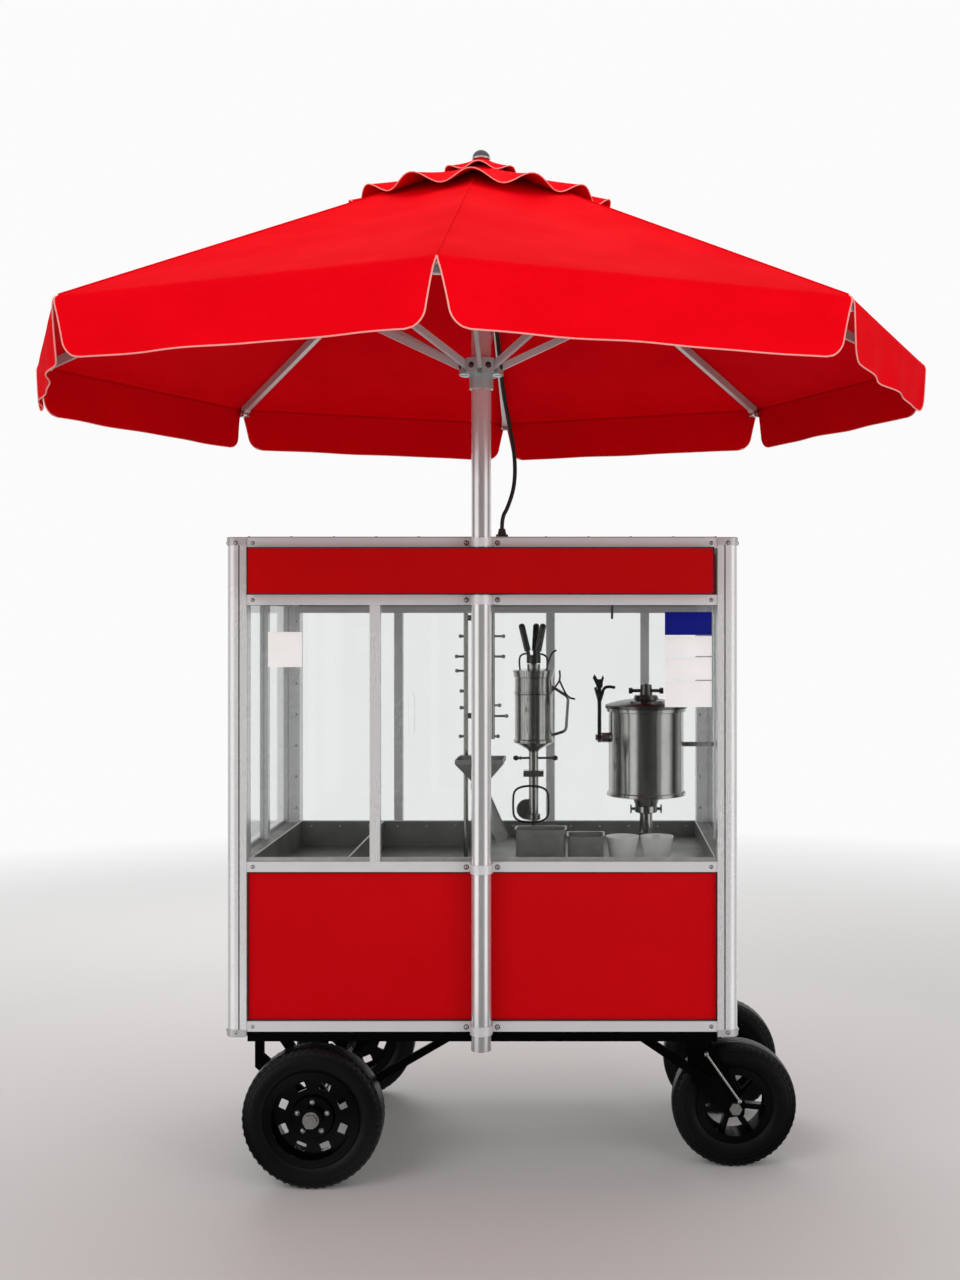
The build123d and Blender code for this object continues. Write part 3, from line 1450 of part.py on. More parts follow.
# Sugar hopper: a folded sheet funnel clamped to the long rod, with a chute below
hopper_x = rack_x[0] + hopper_offset
hopper_y = rack_y - rack_rod - hopper_half - 6
hopper_top = machine_floor_z + 285
hopper_wall = 2.5
neck_half = 20
neck_top = hopper_top - 58
neck_end = hopper_top - 76
hopper_levels = (
    (hopper_top, hopper_half),
    (hopper_top - 10, hopper_half),
    (neck_top, neck_half),
    (neck_end, neck_half),
)
hanger_half = rack_rod + 8
with BuildPart() as funnel:
    for (high, high_half), (low, low_half) in zip(hopper_levels, hopper_levels[1:]):
        for inset, action in ((0, Mode.ADD), (hopper_wall, Mode.SUBTRACT)):
            for level, half in ((high, high_half), (low, low_half)):
                with BuildSketch(Plane((hopper_x, hopper_y, level))):
                    Rectangle(2 * (half - inset), 2 * (half - inset))
            loft(ruled=True, mode=action)
    hanger_low = (rack_x[0] - hanger_half, hopper_y + hopper_half, hopper_top - 10)
    add(block(hanger_low, (rack_x[0] + hanger_half, rack_y + hanger_half, hopper_top)))
    with Locations((rack_x[0], rack_y, hopper_top - 5)):
        Cylinder(rack_rod + 0.1, 20, mode=Mode.SUBTRACT)
chute_lean = 24
chute_length = 150
chute_width = 46
collar_half = neck_half + 3
with BuildPart() as chute:
    down = Vector(sin(radians(chute_lean)), 0, -cos(radians(chute_lean)))
    chute_start = Vector(hopper_x - 6, hopper_y, hopper_top - 66)
    with BuildSketch(Plane(chute_start, x_dir=(0, 1, 0), z_dir=down)):
        Rectangle(chute_width, 30)
        with Locations((0, 3)):
            Rectangle(chute_width - 4, 28, mode=Mode.SUBTRACT)
    extrude(amount=chute_length)
    with BuildSketch(Plane((hopper_x, hopper_y, neck_end))):
        Rectangle(2 * collar_half, 2 * collar_half)
    extrude(amount=neck_top - neck_end - 3)
    with BuildSketch(Plane((hopper_x, hopper_y, neck_end - 1))):
        Rectangle(2 * neck_half + 0.2, 2 * neck_half + 0.2)
    extrude(amount=neck_top - neck_end + 2, mode=Mode.SUBTRACT)
write_group([funnel.part, chute.part], "sugar_hopper")
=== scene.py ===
"""Dresses the churro cart: finishes, parasol cloth, cord, small fittings, camera and light."""

import logging
import math
from dataclasses import dataclass, field
from enum import Enum
from typing import Callable, Sequence

import bmesh
import bpy
from mathutils import Matrix, Vector, noise

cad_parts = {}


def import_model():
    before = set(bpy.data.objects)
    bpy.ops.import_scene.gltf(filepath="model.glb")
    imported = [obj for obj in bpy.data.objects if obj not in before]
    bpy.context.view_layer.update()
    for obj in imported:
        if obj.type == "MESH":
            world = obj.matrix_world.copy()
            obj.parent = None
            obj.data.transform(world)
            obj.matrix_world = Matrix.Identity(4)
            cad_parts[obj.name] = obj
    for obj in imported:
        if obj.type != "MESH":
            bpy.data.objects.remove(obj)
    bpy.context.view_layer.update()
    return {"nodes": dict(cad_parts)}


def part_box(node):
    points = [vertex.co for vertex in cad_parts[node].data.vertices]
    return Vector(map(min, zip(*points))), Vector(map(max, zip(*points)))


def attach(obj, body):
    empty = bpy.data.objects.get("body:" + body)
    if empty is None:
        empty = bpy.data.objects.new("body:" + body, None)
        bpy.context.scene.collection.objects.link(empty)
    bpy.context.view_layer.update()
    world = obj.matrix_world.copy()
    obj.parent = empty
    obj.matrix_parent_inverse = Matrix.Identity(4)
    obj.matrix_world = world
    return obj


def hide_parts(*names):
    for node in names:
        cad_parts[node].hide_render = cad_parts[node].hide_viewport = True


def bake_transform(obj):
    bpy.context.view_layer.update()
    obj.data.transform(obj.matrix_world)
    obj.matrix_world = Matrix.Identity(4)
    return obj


frame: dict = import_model()
LOG: logging.Logger = logging.getLogger("churro_cart")

Color = tuple[float, float, float]
Point = tuple[float, float, float]
Span = tuple[float, float]
Place = Vector | Point
Socket = bpy.types.NodeSocket
Node = bpy.types.Node
Tree = bpy.types.NodeTree
ROOT: str = "cart"
FULL_TURN: float = 2 * math.pi
FRONT: Point = (0.0, -1.0, 0.0)
BACK: Point = (0.0, 1.0, 0.0)
UP: Point = (0.0, 0.0, 1.0)
RISING: Span = (0.0, 1.0)
FALLING: Span = (1.0, 0.0)
PAPER: Color = (0.965, 0.965, 0.965)
WHEELS: tuple[str, ...] = ("front_left", "back_left", "front_right", "back_right")


class Wiring:
    """Adds and joins the nodes of one shader tree."""

    def __init__(self, tree: Tree) -> None:
        """Keeps the tree that the nodes go into."""
        self.tree = tree

    def fill(self, node: Node, inputs: dict) -> None:
        """Feeds several inputs of one node.

        Args:
            node: Node that takes them.
            inputs: Socket name or number to a plain value or to a socket that feeds it.
        """
        for key, value in inputs.items():
            socket = node.inputs[key]
            if isinstance(value, Socket):
                self.tree.links.new(value, socket)
            elif socket.type == "RGBA" and len(value) == 3:
                socket.default_value = (*value, 1.0)
            else:
                socket.default_value = value

    def add(self, kind: str, inputs: dict | None = None, **settings: object) -> Node:
        """Adds one node.

        Args:
            kind: Node type without its ShaderNode prefix.
            inputs: Socket name or number to a plain value or to a socket that feeds it.
            settings: Attributes of the node.

        Returns:
            The new node.
        """
        node = self.tree.nodes.new(f"ShaderNode{kind}")
        for key, value in settings.items():
            setattr(node, key, value)
        self.fill(node, inputs or {})
        return node

    def math(self, operation: str, first: object, second: object = 0.0) -> Socket:
        """Joins two numbers or sockets with one Math node."""
        return self.add("Math", {0: first, 1: second}, operation=operation).outputs[0]

    def weigh(self, share: float, first: Socket, second: Socket) -> Socket:
        """Adds up two values, where the first weighs its share and the second weighs the rest."""
        return self.math("ADD", self.math("MULTIPLY", first, share), self.math("MULTIPLY", second, 1 - share))

    def blend(self, share: object, first: object, second: object) -> Socket:
        """Mixes two colours or sockets, by the share of the second that shows."""
        return self.add("Mix", {0: share, 6: first, 7: second}, data_type="RGBA").outputs[2]

    def spread(self, value: object, source: Span, target: Span = RISING) -> Socket:
        """Maps a source range of values to a target range, clamped."""
        ends = {0: value, 1: source[0], 2: source[1], 3: target[0], 4: target[1]}
        return self.add("MapRange", ends, clamp=True).outputs[0]

    def vector(self, operation: str, first: object, second: object = (0.0, 0.0, 0.0)) -> Node:
        """Joins two vectors or sockets with one Vector Math node."""
        return self.add("VectorMath", {0: first, 1: second}, operation=operation)

    def mirrored(self) -> Socket:
        """Returns 1 for rays that a shiny surface has mirrored, and 0 for all others."""
        return self.math("MINIMUM", self.add("LightPath").outputs["Glossy Depth"], 1.0)

    def show(self, share: Socket, first: Node, second: Node) -> None:
        """Sends a mix of two shaders to the tree's output.

        Args:
            share: How much of the second shader shows.
            first: Node of the first shader.
            second: Node of the second shader.
        """
        mixed = self.add("MixShader", {0: share, 1: first.outputs[0], 2: second.outputs[0]})
        end = next(node for node in self.tree.nodes if node.type.startswith("OUTPUT"))
        self.fill(end, {"Surface": mixed.outputs[0]})


@dataclass(frozen=True)
class MirrorTones:
    """Where the mirrored studio changes tone, by the parts of a ray's direction."""

    behind: Span = (0.15, 0.80)
    behind_tones: Span = (0.04, 0.90)
    right: Span = (0.55, 0.80)
    left: Span = (-0.58, -0.38)
    strips: Span = (-0.30, 0.0)
    ceiling: Span = (0.45, 0.60)
    ceiling_tones: Span = (0.0, 0.8)


class SharedEffect(Enum):
    """Shader groups that several finishes place with their own values."""

    GRAIN = "surface grain"
    WEAVE = "plain weave"
    DUST = "road dust"
    WALLS = "studio walls"

    def group(self) -> Tree:
        """Returns the group, built at its first use."""
        known = bpy.data.node_groups.get(self.value)
        if known:
            return known
        builders: dict[SharedEffect, Callable[[], Tree]] = {
            SharedEffect.GRAIN: self.build_grain,
            SharedEffect.WEAVE: self.build_weave,
            SharedEffect.DUST: self.build_dust,
            SharedEffect.WALLS: self.build_walls,
        }
        return builders[self]()

    def place(self, wires: Wiring, inputs: dict) -> Socket:
        """Puts this group into a material and returns its output."""
        return wires.add("Group", inputs, node_tree=self.group()).outputs[0]

    def open_group(self, inputs: dict[str, str], output: str, kind: str) -> tuple:
        """Makes the group with its sockets and end nodes.

        Args:
            inputs: Input name to socket kind.
            output: Name of the output.
            kind: Socket kind of the output.

        Returns:
            The wiring, the sockets that come in and the end node.
        """
        tree = bpy.data.node_groups.new(self.value, "ShaderNodeTree")
        for name, form in inputs.items():
            tree.interface.new_socket(name, in_out="INPUT", socket_type=f"NodeSocket{form}")
        tree.interface.new_socket(output, in_out="OUTPUT", socket_type=f"NodeSocket{kind}")
        start, end = tree.nodes.new("NodeGroupInput"), tree.nodes.new("NodeGroupOutput")
        return Wiring(tree), start.outputs, end

    def build_grain(self) -> Tree:
        """Builds noise that can be drawn out along one direction."""
        inputs = {"Vector": "Vector", "Stretch": "Vector", "Scale": "Float", "Detail": "Float"}
        wires, start, end = self.open_group(inputs, "Spread", "Float")
        drawn = wires.vector("MULTIPLY", start["Vector"], start["Stretch"]).outputs[0]
        cloud = {"Vector": drawn, "Scale": start["Scale"], "Detail": start["Detail"]}
        value = wires.add("TexNoise", cloud).outputs[0]
        wires.fill(end, {"Spread": wires.spread(value, (0.3, 0.7))})
        return wires.tree

    def build_weave(self) -> Tree:
        """Builds threads that pass over and under each other."""
        wires, start, end = self.open_group({"Vector": "Vector", "Pitch": "Float"}, "Height", "Float")
        waves = []
        for part in wires.add("SeparateXYZ", {0: start["Vector"]}).outputs[:2]:
            turns = wires.math("DIVIDE", wires.math("MULTIPLY", part, math.pi), start["Pitch"])
            waves.append(wires.math("SINE", turns))
        wires.fill(end, {"Height": wires.spread(wires.math("MULTIPLY", *waves), (-1.0, 1.0))})
        return wires.tree

    def build_dust(self) -> Tree:
        """Builds pale dust that thins out with height."""
        inputs = {"Vector": "Vector", "Color": "Color", "Dust": "Color", "Top": "Float", "Amount": "Float"}
        wires, start, end = self.open_group(inputs, "Color", "Color")
        height = wires.add("SeparateXYZ", {0: start["Vector"]}).outputs[2]
        share = wires.math("SUBTRACT", 1.0, wires.math("DIVIDE", height, start["Top"]))
        patches = wires.add("TexNoise", {"Vector": start["Vector"], "Scale": 38.0, "Detail": 5.0}).outputs[0]
        patchy = wires.math("MULTIPLY", wires.math("MAXIMUM", share, 0.0), patches)
        mask = wires.math("MINIMUM", wires.math("MULTIPLY", patchy, start["Amount"]), 1.0)
        wires.fill(end, {"Color": wires.blend(mask, start["Color"], start["Dust"])})
        return wires.tree

    def build_walls(self) -> Tree:
        """Builds the studio's tone in mirrors: dark in front, bright strips beside, pale behind and above."""
        tones = MirrorTones()
        wires, start, end = self.open_group({"Vector": "Vector"}, "Tone", "Float")
        across, forward, up = wires.add("SeparateXYZ", {0: start["Vector"]}).outputs
        tone = wires.spread(forward, tones.behind, tones.behind_tones)
        aside = wires.math("MAXIMUM", wires.spread(across, tones.right), wires.spread(across, tones.left, FALLING))
        strip = wires.math("MULTIPLY", aside, wires.spread(forward, tones.strips, FALLING))
        tone = wires.math("MAXIMUM", tone, strip)
        ceiling = wires.spread(up, tones.ceiling, tones.ceiling_tones)
        wires.fill(end, {"Tone": wires.math("MAXIMUM", tone, ceiling)})
        return wires.tree


@dataclass(frozen=True)
class Surface:
    """A named look. Lengths are in metres, and scales are features to the metre."""

    name: str

    def material(self) -> bpy.types.Material:
        """Returns this look as a material, built at its first use."""
        made = bpy.data.materials.get(self.name)
        if not made:
            made = bpy.data.materials.new(self.name)
            made.use_nodes = True
            self.dress(Wiring(made.node_tree), made.node_tree.nodes["Principled BSDF"])
        return made

    def dress(self, wires: Wiring, shader: Node) -> None:
        """Wires the look to the material's Principled shader."""
        raise NotImplementedError


@dataclass(frozen=True)
class Finish(Surface):
    """A rigid surface: two close colours in a slow mottle, and a fine grain."""

    color: Color
    shade: Color
    metallic: float = 0.0
    roughness: Span = (0.35, 0.45)
    mottle: float = 9.0
    grain: float = 700.0
    stretch: Point = (1.0, 1.0, 1.0)
    bump: float = 0.00003
    specular: float = 0.5
    dust_top: float = 0.0
    dust_amount: float = 0.9
    dust: Color = (0.20, 0.17, 0.14)
    grain_share: float = 0.35

    def dress(self, wires: Wiring, shader: Node) -> None:
        """Wires the mottle, the grain and any dust.

        Args:
            wires: Wiring of the material.
            shader: Its Principled shader.
        """
        place = wires.add("TexCoord").outputs["Object"]
        slow = {"Vector": place, "Stretch": (1.0, 1.0, 1.0), "Scale": self.mottle, "Detail": 4.0}
        fine = {"Vector": place, "Stretch": self.stretch, "Scale": self.grain, "Detail": 3.0}
        grain = SharedEffect.GRAIN.place(wires, fine)
        mixed = wires.weigh(self.grain_share, grain, SharedEffect.GRAIN.place(wires, slow))
        color = wires.blend(mixed, self.color, self.shade)
        if self.dust_top > 0:
            dusty = {"Vector": place, "Color": color, "Dust": self.dust}
            color = SharedEffect.DUST.place(wires, dusty | {"Top": self.dust_top, "Amount": self.dust_amount})
        wires.fill(shader, {
            "Base Color": color,
            "Roughness": wires.spread(mixed, RISING, self.roughness),
            "Normal": wires.add("Bump", {"Strength": 1.0, "Distance": self.bump, "Height": grain}).outputs[0],
            "Metallic": self.metallic,
            "Specular IOR Level": self.specular,
        })


@dataclass(frozen=True)
class ClothFinish(Surface):
    """Woven cloth: threads along the piece's own map, faint creases, and painted shade on the side that faces the
    mast below the eave, darkest in a painted line along the fold.
    """

    color: Color
    shade: Color
    thread: float = 0.0012
    thread_share: float = 0.3
    thread_relief: float = 0.00006
    thread_strength: float = 0.8
    crease_relief: float = 0.0018
    roughness: Span = (0.66, 0.78)
    specular: float = 0.008
    eave: float = 0.0
    eave_half: float = 0.0035
    eave_core: float = 0.6
    # painted shade: how dark the inner side of the flaps and the fold at the eave are painted, as shares of the
    # shade colour
    flap_inner_shade: float = 0.86
    eave_fold_shade: float = 0.66

    def dress(self, wires: Wiring, shader: Node) -> None:
        """Wires the weave, the creases and any painted shade below the eave.

        Args:
            wires: Wiring of the material.
            shader: Its Principled shader.
        """
        coords = wires.add("TexCoord").outputs
        weave = SharedEffect.WEAVE.place(wires, {"Vector": coords["UV"], "Pitch": self.thread})
        creases = {"Vector": coords["Object"], "Stretch": (1.0, 1.0, 2.0), "Scale": 7.0, "Detail": 3.0}
        folds = SharedEffect.GRAIN.place(wires, creases)
        tone = wires.weigh(self.thread_share, weave, folds)
        wide = wires.add("Bump", {"Strength": 1.0, "Distance": self.crease_relief, "Height": folds}).outputs[0]
        close = {"Strength": self.thread_strength, "Distance": self.thread_relief, "Height": weave, "Normal": wide}
        color = wires.blend(tone, self.color, self.shade)
        if self.eave > 0:
            color = self.line(wires, coords, color)
        wires.fill(shader, {
            "Base Color": color,
            "Roughness": wires.spread(tone, RISING, self.roughness),
            "Normal": wires.add("Bump", close).outputs[0],
            "Specular IOR Level": self.specular,
        })

    def line(self, wires: Wiring, coords: Sequence, color: Socket) -> Socket:
        """Paints shade on the side that faces the mast below the eave, darker still in a band along the fold.

        Args:
            wires: Wiring of the material.
            coords: Outputs of the coordinate node.
            color: Colour of the cloth.

        Returns:
            The socket of the colour with the painted shade.
        """
        along = wires.add("SeparateXYZ", {0: coords["UV"]}).outputs[1]
        off = wires.math("SUBTRACT", along, self.eave)
        flat = wires.vector("MULTIPLY", coords["Object"], (1.0, 1.0, 0.0)).outputs[0]
        outward = wires.vector("DOT_PRODUCT", flat, wires.add("NewGeometry").outputs["Normal"]).outputs["Value"]
        inside = wires.math("LESS_THAN", outward, 0.0)
        below = wires.spread(off, (-self.eave_half, 0.0))
        band = wires.spread(wires.math("ABSOLUTE", off), (self.eave_half * self.eave_core, self.eave_half), FALLING)
        # painted shade on the inner flaps, and a darker painted line along the fold
        for mask, tone in ((below, self.flap_inner_shade), (band, self.eave_fold_shade)):
            dark = tuple(part * tone for part in self.shade)
            color = wires.blend(wires.math("MULTIPLY", inside, mask), color, dark)
        return color


@dataclass(frozen=True)
class GlassFinish(Surface):
    """Clear pane glass with a faint tint that lets lamp light through."""

    tint: Color
    roughness: Span = (0.01, 0.05)
    index: float = 1.45

    def dress(self, wires: Wiring, shader: Node) -> None:
        """Wires the wiped glass.

        Args:
            wires: Wiring of the material.
            shader: Its Principled shader.
        """
        place = wires.add("TexCoord").outputs["Object"]
        smears = {"Vector": place, "Stretch": (1.0, 1.0, 0.5), "Scale": 5.0, "Detail": 4.0}
        wiped = SharedEffect.GRAIN.place(wires, smears)
        pale = tuple((1.0 + part) / 2 for part in self.tint)
        wires.fill(shader, {
            "Base Color": wires.blend(wiped, self.tint, pale),
            "Roughness": wires.spread(wiped, RISING, self.roughness),
            "Transmission Weight": 1.0,
            "IOR": self.index,
        })
        clear = wires.add("BsdfTransparent", {"Color": pale})
        wires.show(wires.add("LightPath").outputs["Is Shadow Ray"], shader, clear)


@dataclass(frozen=True)
class FloorFinish(Surface):
    """Pale floor that fades to white paper far from the cart, and that metal mirrors as the studio's walls."""

    color: Color = (0.62, 0.61, 0.60)
    roughness: float = 0.8
    fade: Span = (2.4, 6.0)
    mirror_fade: Span = (0.2, 0.7)
    mirror_dark: Span = (0.9, 1.8)
    mirror_tones: Span = (0.1, 1.0)

    def dress(self, wires: Wiring, shader: Node) -> None:
        """Wires the fade and the mirrored tones.

        Args:
            wires: Wiring of the material.
            shader: Its Principled shader.
        """
        wires.fill(shader, {"Base Color": self.color, "Roughness": self.roughness})
        place = wires.add("TexCoord").outputs["Object"]
        away = wires.vector("LENGTH", place).outputs["Value"]
        tone = SharedEffect.WALLS.place(wires, {"Vector": wires.vector("NORMALIZE", place).outputs[0]})
        tone = wires.math("MULTIPLY", tone, wires.spread(away, self.mirror_dark, self.mirror_tones))
        mirrored = wires.mirrored()
        white = wires.add("Emission", {"Color": wires.blend(mirrored, PAPER, tone), "Strength": 1.0})
        near = wires.math("MULTIPLY", mirrored, wires.spread(away, self.mirror_fade))
        wires.show(wires.math("MAXIMUM", near, wires.spread(away, self.fade)), shader, white)


ALONG_X: Point = (0.012, 1.0, 1.0)
ALONG_Z: Point = (1.0, 1.0, 0.012)
FRAME_ALUMINIUM = Finish(
    "satin frame aluminium", (0.75, 0.75, 0.76), (0.67, 0.67, 0.68), 0.35, (0.34, 0.44), grain=1600.0, bump=0.00002
)
POST_ALUMINIUM = Finish(
    "drawn post aluminium", (0.83, 0.83, 0.83), (0.77, 0.77, 0.77), 0.42, (0.24, 0.30), grain=2400.0,
    stretch=ALONG_Z, bump=0.00001,
)
MAST_ALUMINIUM = Finish(
    "drawn mast tube", (0.88, 0.87, 0.87), (0.78, 0.77, 0.77), 0.72, (0.14, 0.22), grain=2400.0, stretch=ALONG_Z
)
RIB_ALUMINIUM = Finish("rib aluminium", (0.62, 0.60, 0.60), (0.50, 0.49, 0.49), 0.50, (0.34, 0.46))
CONNECTOR_CAST = Finish(
    "cast connector", (0.62, 0.61, 0.61), (0.50, 0.49, 0.49), 0.45, (0.30, 0.42), grain=1200.0
)
RUNNER_CAST = Finish("cast runner", (0.47, 0.56, 0.55), (0.36, 0.44, 0.43), 0.55, (0.26, 0.38), grain=1200.0)
CHROME = Finish("dull chrome", (0.72, 0.72, 0.73), (0.60, 0.60, 0.61), 0.90, (0.14, 0.24), bump=0.00001)
FINIAL_METAL = Finish("finial metal", (0.16, 0.15, 0.15), (0.08, 0.08, 0.08), 0.90, (0.16, 0.28), mottle=60.0)
RED_PANEL = Finish(
    "red panel paint", (0.49, 0.0004, 0.003), (0.45, 0.0003, 0.0025), 0.0, (0.40, 0.48), mottle=4.0, specular=0.04
)
SIGN_PAINT = Finish(
    "red sign paint", (0.43, 0.0004, 0.0010), (0.38, 0.0003, 0.0009), 0.0, (0.38, 0.46), mottle=4.0, specular=0.04
)
DECK_STEEL = Finish(
    "brushed deck steel", (0.33, 0.33, 0.315), (0.20, 0.20, 0.19), 0.60, (0.34, 0.5), grain=800.0, stretch=ALONG_X
)
POLISHED_STEEL = Finish(
    "polished steel", (0.58, 0.57, 0.545), (0.44, 0.43, 0.41), 1.0, (0.09, 0.17), stretch=(1.0, 1.0, 12.0),
    bump=0.00001,
)
CUP_STEEL = Finish("spun cup steel", (0.97, 0.97, 0.95), (0.88, 0.88, 0.86), 0.14, (0.16, 0.24), mottle=40.0)
PAN_STEEL = Finish("worn pan steel", (0.42, 0.42, 0.41), (0.28, 0.28, 0.27), 0.50, (0.28, 0.42), mottle=30.0)
LID_STEEL = Finish("dark lid steel", (0.22, 0.21, 0.20), (0.12, 0.115, 0.11), 1.0, (0.15, 0.28), mottle=30.0)
DARK_STEEL = Finish("oiled dark steel", (0.15, 0.145, 0.14), (0.07, 0.067, 0.064), 1.0, (0.2, 0.34), mottle=40.0)
DARK_GRIP = Finish(
    "dark grip plastic", (0.016, 0.015, 0.015), (0.026, 0.025, 0.024), 0.0, (0.4, 0.55), grain=1500.0
)
CHASSIS_PAINT = Finish(
    "black chassis powder coat", (0.0005, 0.0005, 0.0006), (0.0012, 0.0012, 0.0013), 0.0, (0.38, 0.5),
    grain=1800.0, bump=0.00008, specular=0.05, dust_top=0.42, dust_amount=0.012,
)
RIM_PAINT = Finish(
    "black rim paint", (0.0005, 0.0005, 0.0006), (0.0012, 0.0012, 0.0013), 0.0, (0.10, 0.17), specular=0.28,
    dust_top=0.35, dust_amount=0.003,
)
TYRE_RUBBER = Finish(
    "tyre rubber", (0.0016, 0.0016, 0.0017), (0.0034, 0.0034, 0.0036), 0.0, (0.28, 0.38), grain=1400.0,
    bump=0.00010, specular=0.28, dust_top=0.3, dust_amount=0.005,
)
AXLE_ZINC = Finish("bright zinc", (0.74, 0.73, 0.70), (0.56, 0.55, 0.53), 0.9, (0.18, 0.30), mottle=80.0)
CORD_RUBBER = Finish("black cord rubber", (0.008, 0.008, 0.009), (0.014, 0.014, 0.015), 0.0, (0.38, 0.5))
SEAL_RUBBER = Finish(
    "black seal rubber", (0.010, 0.010, 0.010), (0.018, 0.018, 0.018), 0.0, (0.5, 0.62), grain=1600.0
)
ROOF_SHEET = Finish("roof sheet", (0.66, 0.66, 0.67), (0.56, 0.56, 0.57), 0.7, (0.34, 0.44), stretch=ALONG_X)
CARD_PALE = Finish(
    "pale card", (0.86, 0.86, 0.85), (0.80, 0.80, 0.79), 0.0, (0.42, 0.52), mottle=18.0, grain=1800.0
)
CARD_BLUE = Finish(
    "blue card", (0.002, 0.006, 0.19), (0.002, 0.005, 0.16), 0.0, (0.42, 0.52), mottle=18.0, specular=0.1
)
# eave: where the painted shade of the inner flaps starts, along the cloth's map
RED_CLOTH = ClothFinish("red parasol cloth", (0.72, 0.0012, 0.006), (0.64, 0.0010, 0.005), eave=1.142)
PIPING_CLOTH = ClothFinish("pale hem piping", (0.80, 0.33, 0.30), (0.70, 0.25, 0.23), crease_relief=0.0)
PANE_GLASS = GlassFinish("pane glass", (0.940, 0.958, 0.952))
PALE_FLOOR = FloorFinish("pale floor")

FINISHED_NODES: dict[Surface, tuple[str, ...]] = {
    MAST_ALUMINIUM: ("mast",),
    FRAME_ALUMINIUM: ("mast_clamps", "frame_rails"),
    POST_ALUMINIUM: ("corner_posts", "mullions"),
    RIB_ALUMINIUM: tuple(f"{kind}_{number}" for kind in ("rib", "strut") for number in range(1, 9)),
    CONNECTOR_CAST: ("corner_connectors",),
    RUNNER_CAST: ("runner",),
    CHROME: ("top_hub", "door_hinges"),
    FINIAL_METAL: ("finial",),
    DARK_GRIP: ("cord_glands",),
    ROOF_SHEET: ("roof_panel",),
    RED_PANEL: ("red_panels", "back_door_left", "back_door_right"),
    SIGN_PAINT: ("sign_panel",),
    PANE_GLASS: ("glass_panes", "rear_hatch"),
    DECK_STEEL: ("base_panel", "deck_tray"),
    POLISHED_STEEL: ("press_body", "press_plunger", "filler_tank", "utensil_rack"),
    DARK_STEEL: ("press_handle", "filler_lever"),
    LID_STEEL: ("filler_lid",),
    CUP_STEEL: ("cup_left", "cup_right"),
    PAN_STEEL: ("sugar_hopper",),
    CHASSIS_PAINT: ("chassis_frame", "wheel_forks"),
    AXLE_ZINC: ("wheel_axles",),
    RIM_PAINT: tuple(f"{wheel}_rim" for wheel in WHEELS),
    TYRE_RUBBER: tuple(f"{wheel}_tyre" for wheel in WHEELS),
}


def add_piece(
    name: str, mesh: bpy.types.Mesh, finish: Surface, body: str | None = ROOT
) -> bpy.types.Object:
    """Puts a finished mesh into the scene.

    Args:
        name: Name of the piece.
        mesh: Its mesh, already in place.
        finish: Finish whose material it takes.
        body: CAD body that it rides on, or None to leave it unattached.

    Returns:
        The new object.
    """
    mesh.name = name
    mesh.materials.clear()
    mesh.materials.append(finish.material())
    piece = bpy.data.objects.new(name, mesh)
    bpy.context.scene.collection.objects.link(piece)
    if body:
        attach(piece, body)
    LOG.info("piece %s with %d faces", name, len(mesh.polygons))
    return piece


def smooth(mesh: bpy.types.Mesh, sharp_degrees: float) -> bpy.types.Mesh:
    """Shades a mesh smooth.

    Args:
        mesh: The mesh.
        sharp_degrees: Edges that turn by more stay sharp.

    Returns:
        The same mesh.
    """
    mesh.shade_smooth()
    mesh.set_sharp_from_angle(angle=math.radians(sharp_degrees))
    return mesh


def to_mesh(bm: bmesh.types.BMesh, sharp_degrees: float = 35.0) -> bpy.types.Mesh:
    """Turns a bmesh into a smooth-shaded mesh and frees it.

    Args:
        bm: Finished bmesh.
        sharp_degrees: Edges that turn by more stay sharp.

    Returns:
        The mesh.
    """
    mesh = bpy.data.meshes.new("piece")
    bm.to_mesh(mesh)
    bm.free()
    return smooth(mesh, sharp_degrees)


def tube_curve(
    lines: Sequence[Sequence[Place]], radius: float, sides: int = 2, closed: bool = False, bends: int = 0
) -> bpy.types.Curve:
    """Makes a curve of round tubes along one or more lines.

    Args:
        lines: Control points of each line.
        radius: Radius of the tubes.
        sides: Bevel resolution; a tube has twice this many sides and two more.
        closed: True for rings.
        bends: Steps between two points of a line with rounded bends, or 0 for straight lines.

    Returns:
        The curve.
    """
    curve = bpy.data.curves.new("tube", "CURVE")
    curve.dimensions = "3D"
    curve.bevel_depth = radius
    curve.bevel_resolution = sides
    curve.use_fill_caps = not closed
    for points in lines:
        line = curve.splines.new("NURBS" if bends else "POLY")
        line.points.add(len(points) - 1)
        for spot, place in zip(line.points, points):
            spot.co = (*place, 1.0)
        line.use_cyclic_u = closed
        if bends:
            line.order_u = 3
            line.use_endpoint_u = not closed
            line.resolution_u = bends
    return curve


def curve_mesh(curve: bpy.types.Curve) -> bpy.types.Mesh:
    """Turns a curve into a smooth-shaded mesh and removes it.

    Args:
        curve: Finished curve.

    Returns:
        The mesh.
    """
    holder = bpy.data.objects.new("tube", curve)
    mesh = bpy.data.meshes.new_from_object(holder)
    bpy.data.objects.remove(holder)
    bpy.data.curves.remove(curve)
    return smooth(mesh, 50.0)


def wire_piece(
    name: str, lines: Sequence[Sequence[Place]], radius: float, body: str = ROOT, closed: bool = False
) -> None:
    """Puts dark bent wires into the scene as one piece, as loops where they are closed."""
    add_piece(name, curve_mesh(tube_curve(lines, radius, 3, closed, 6)), DARK_STEEL, body)


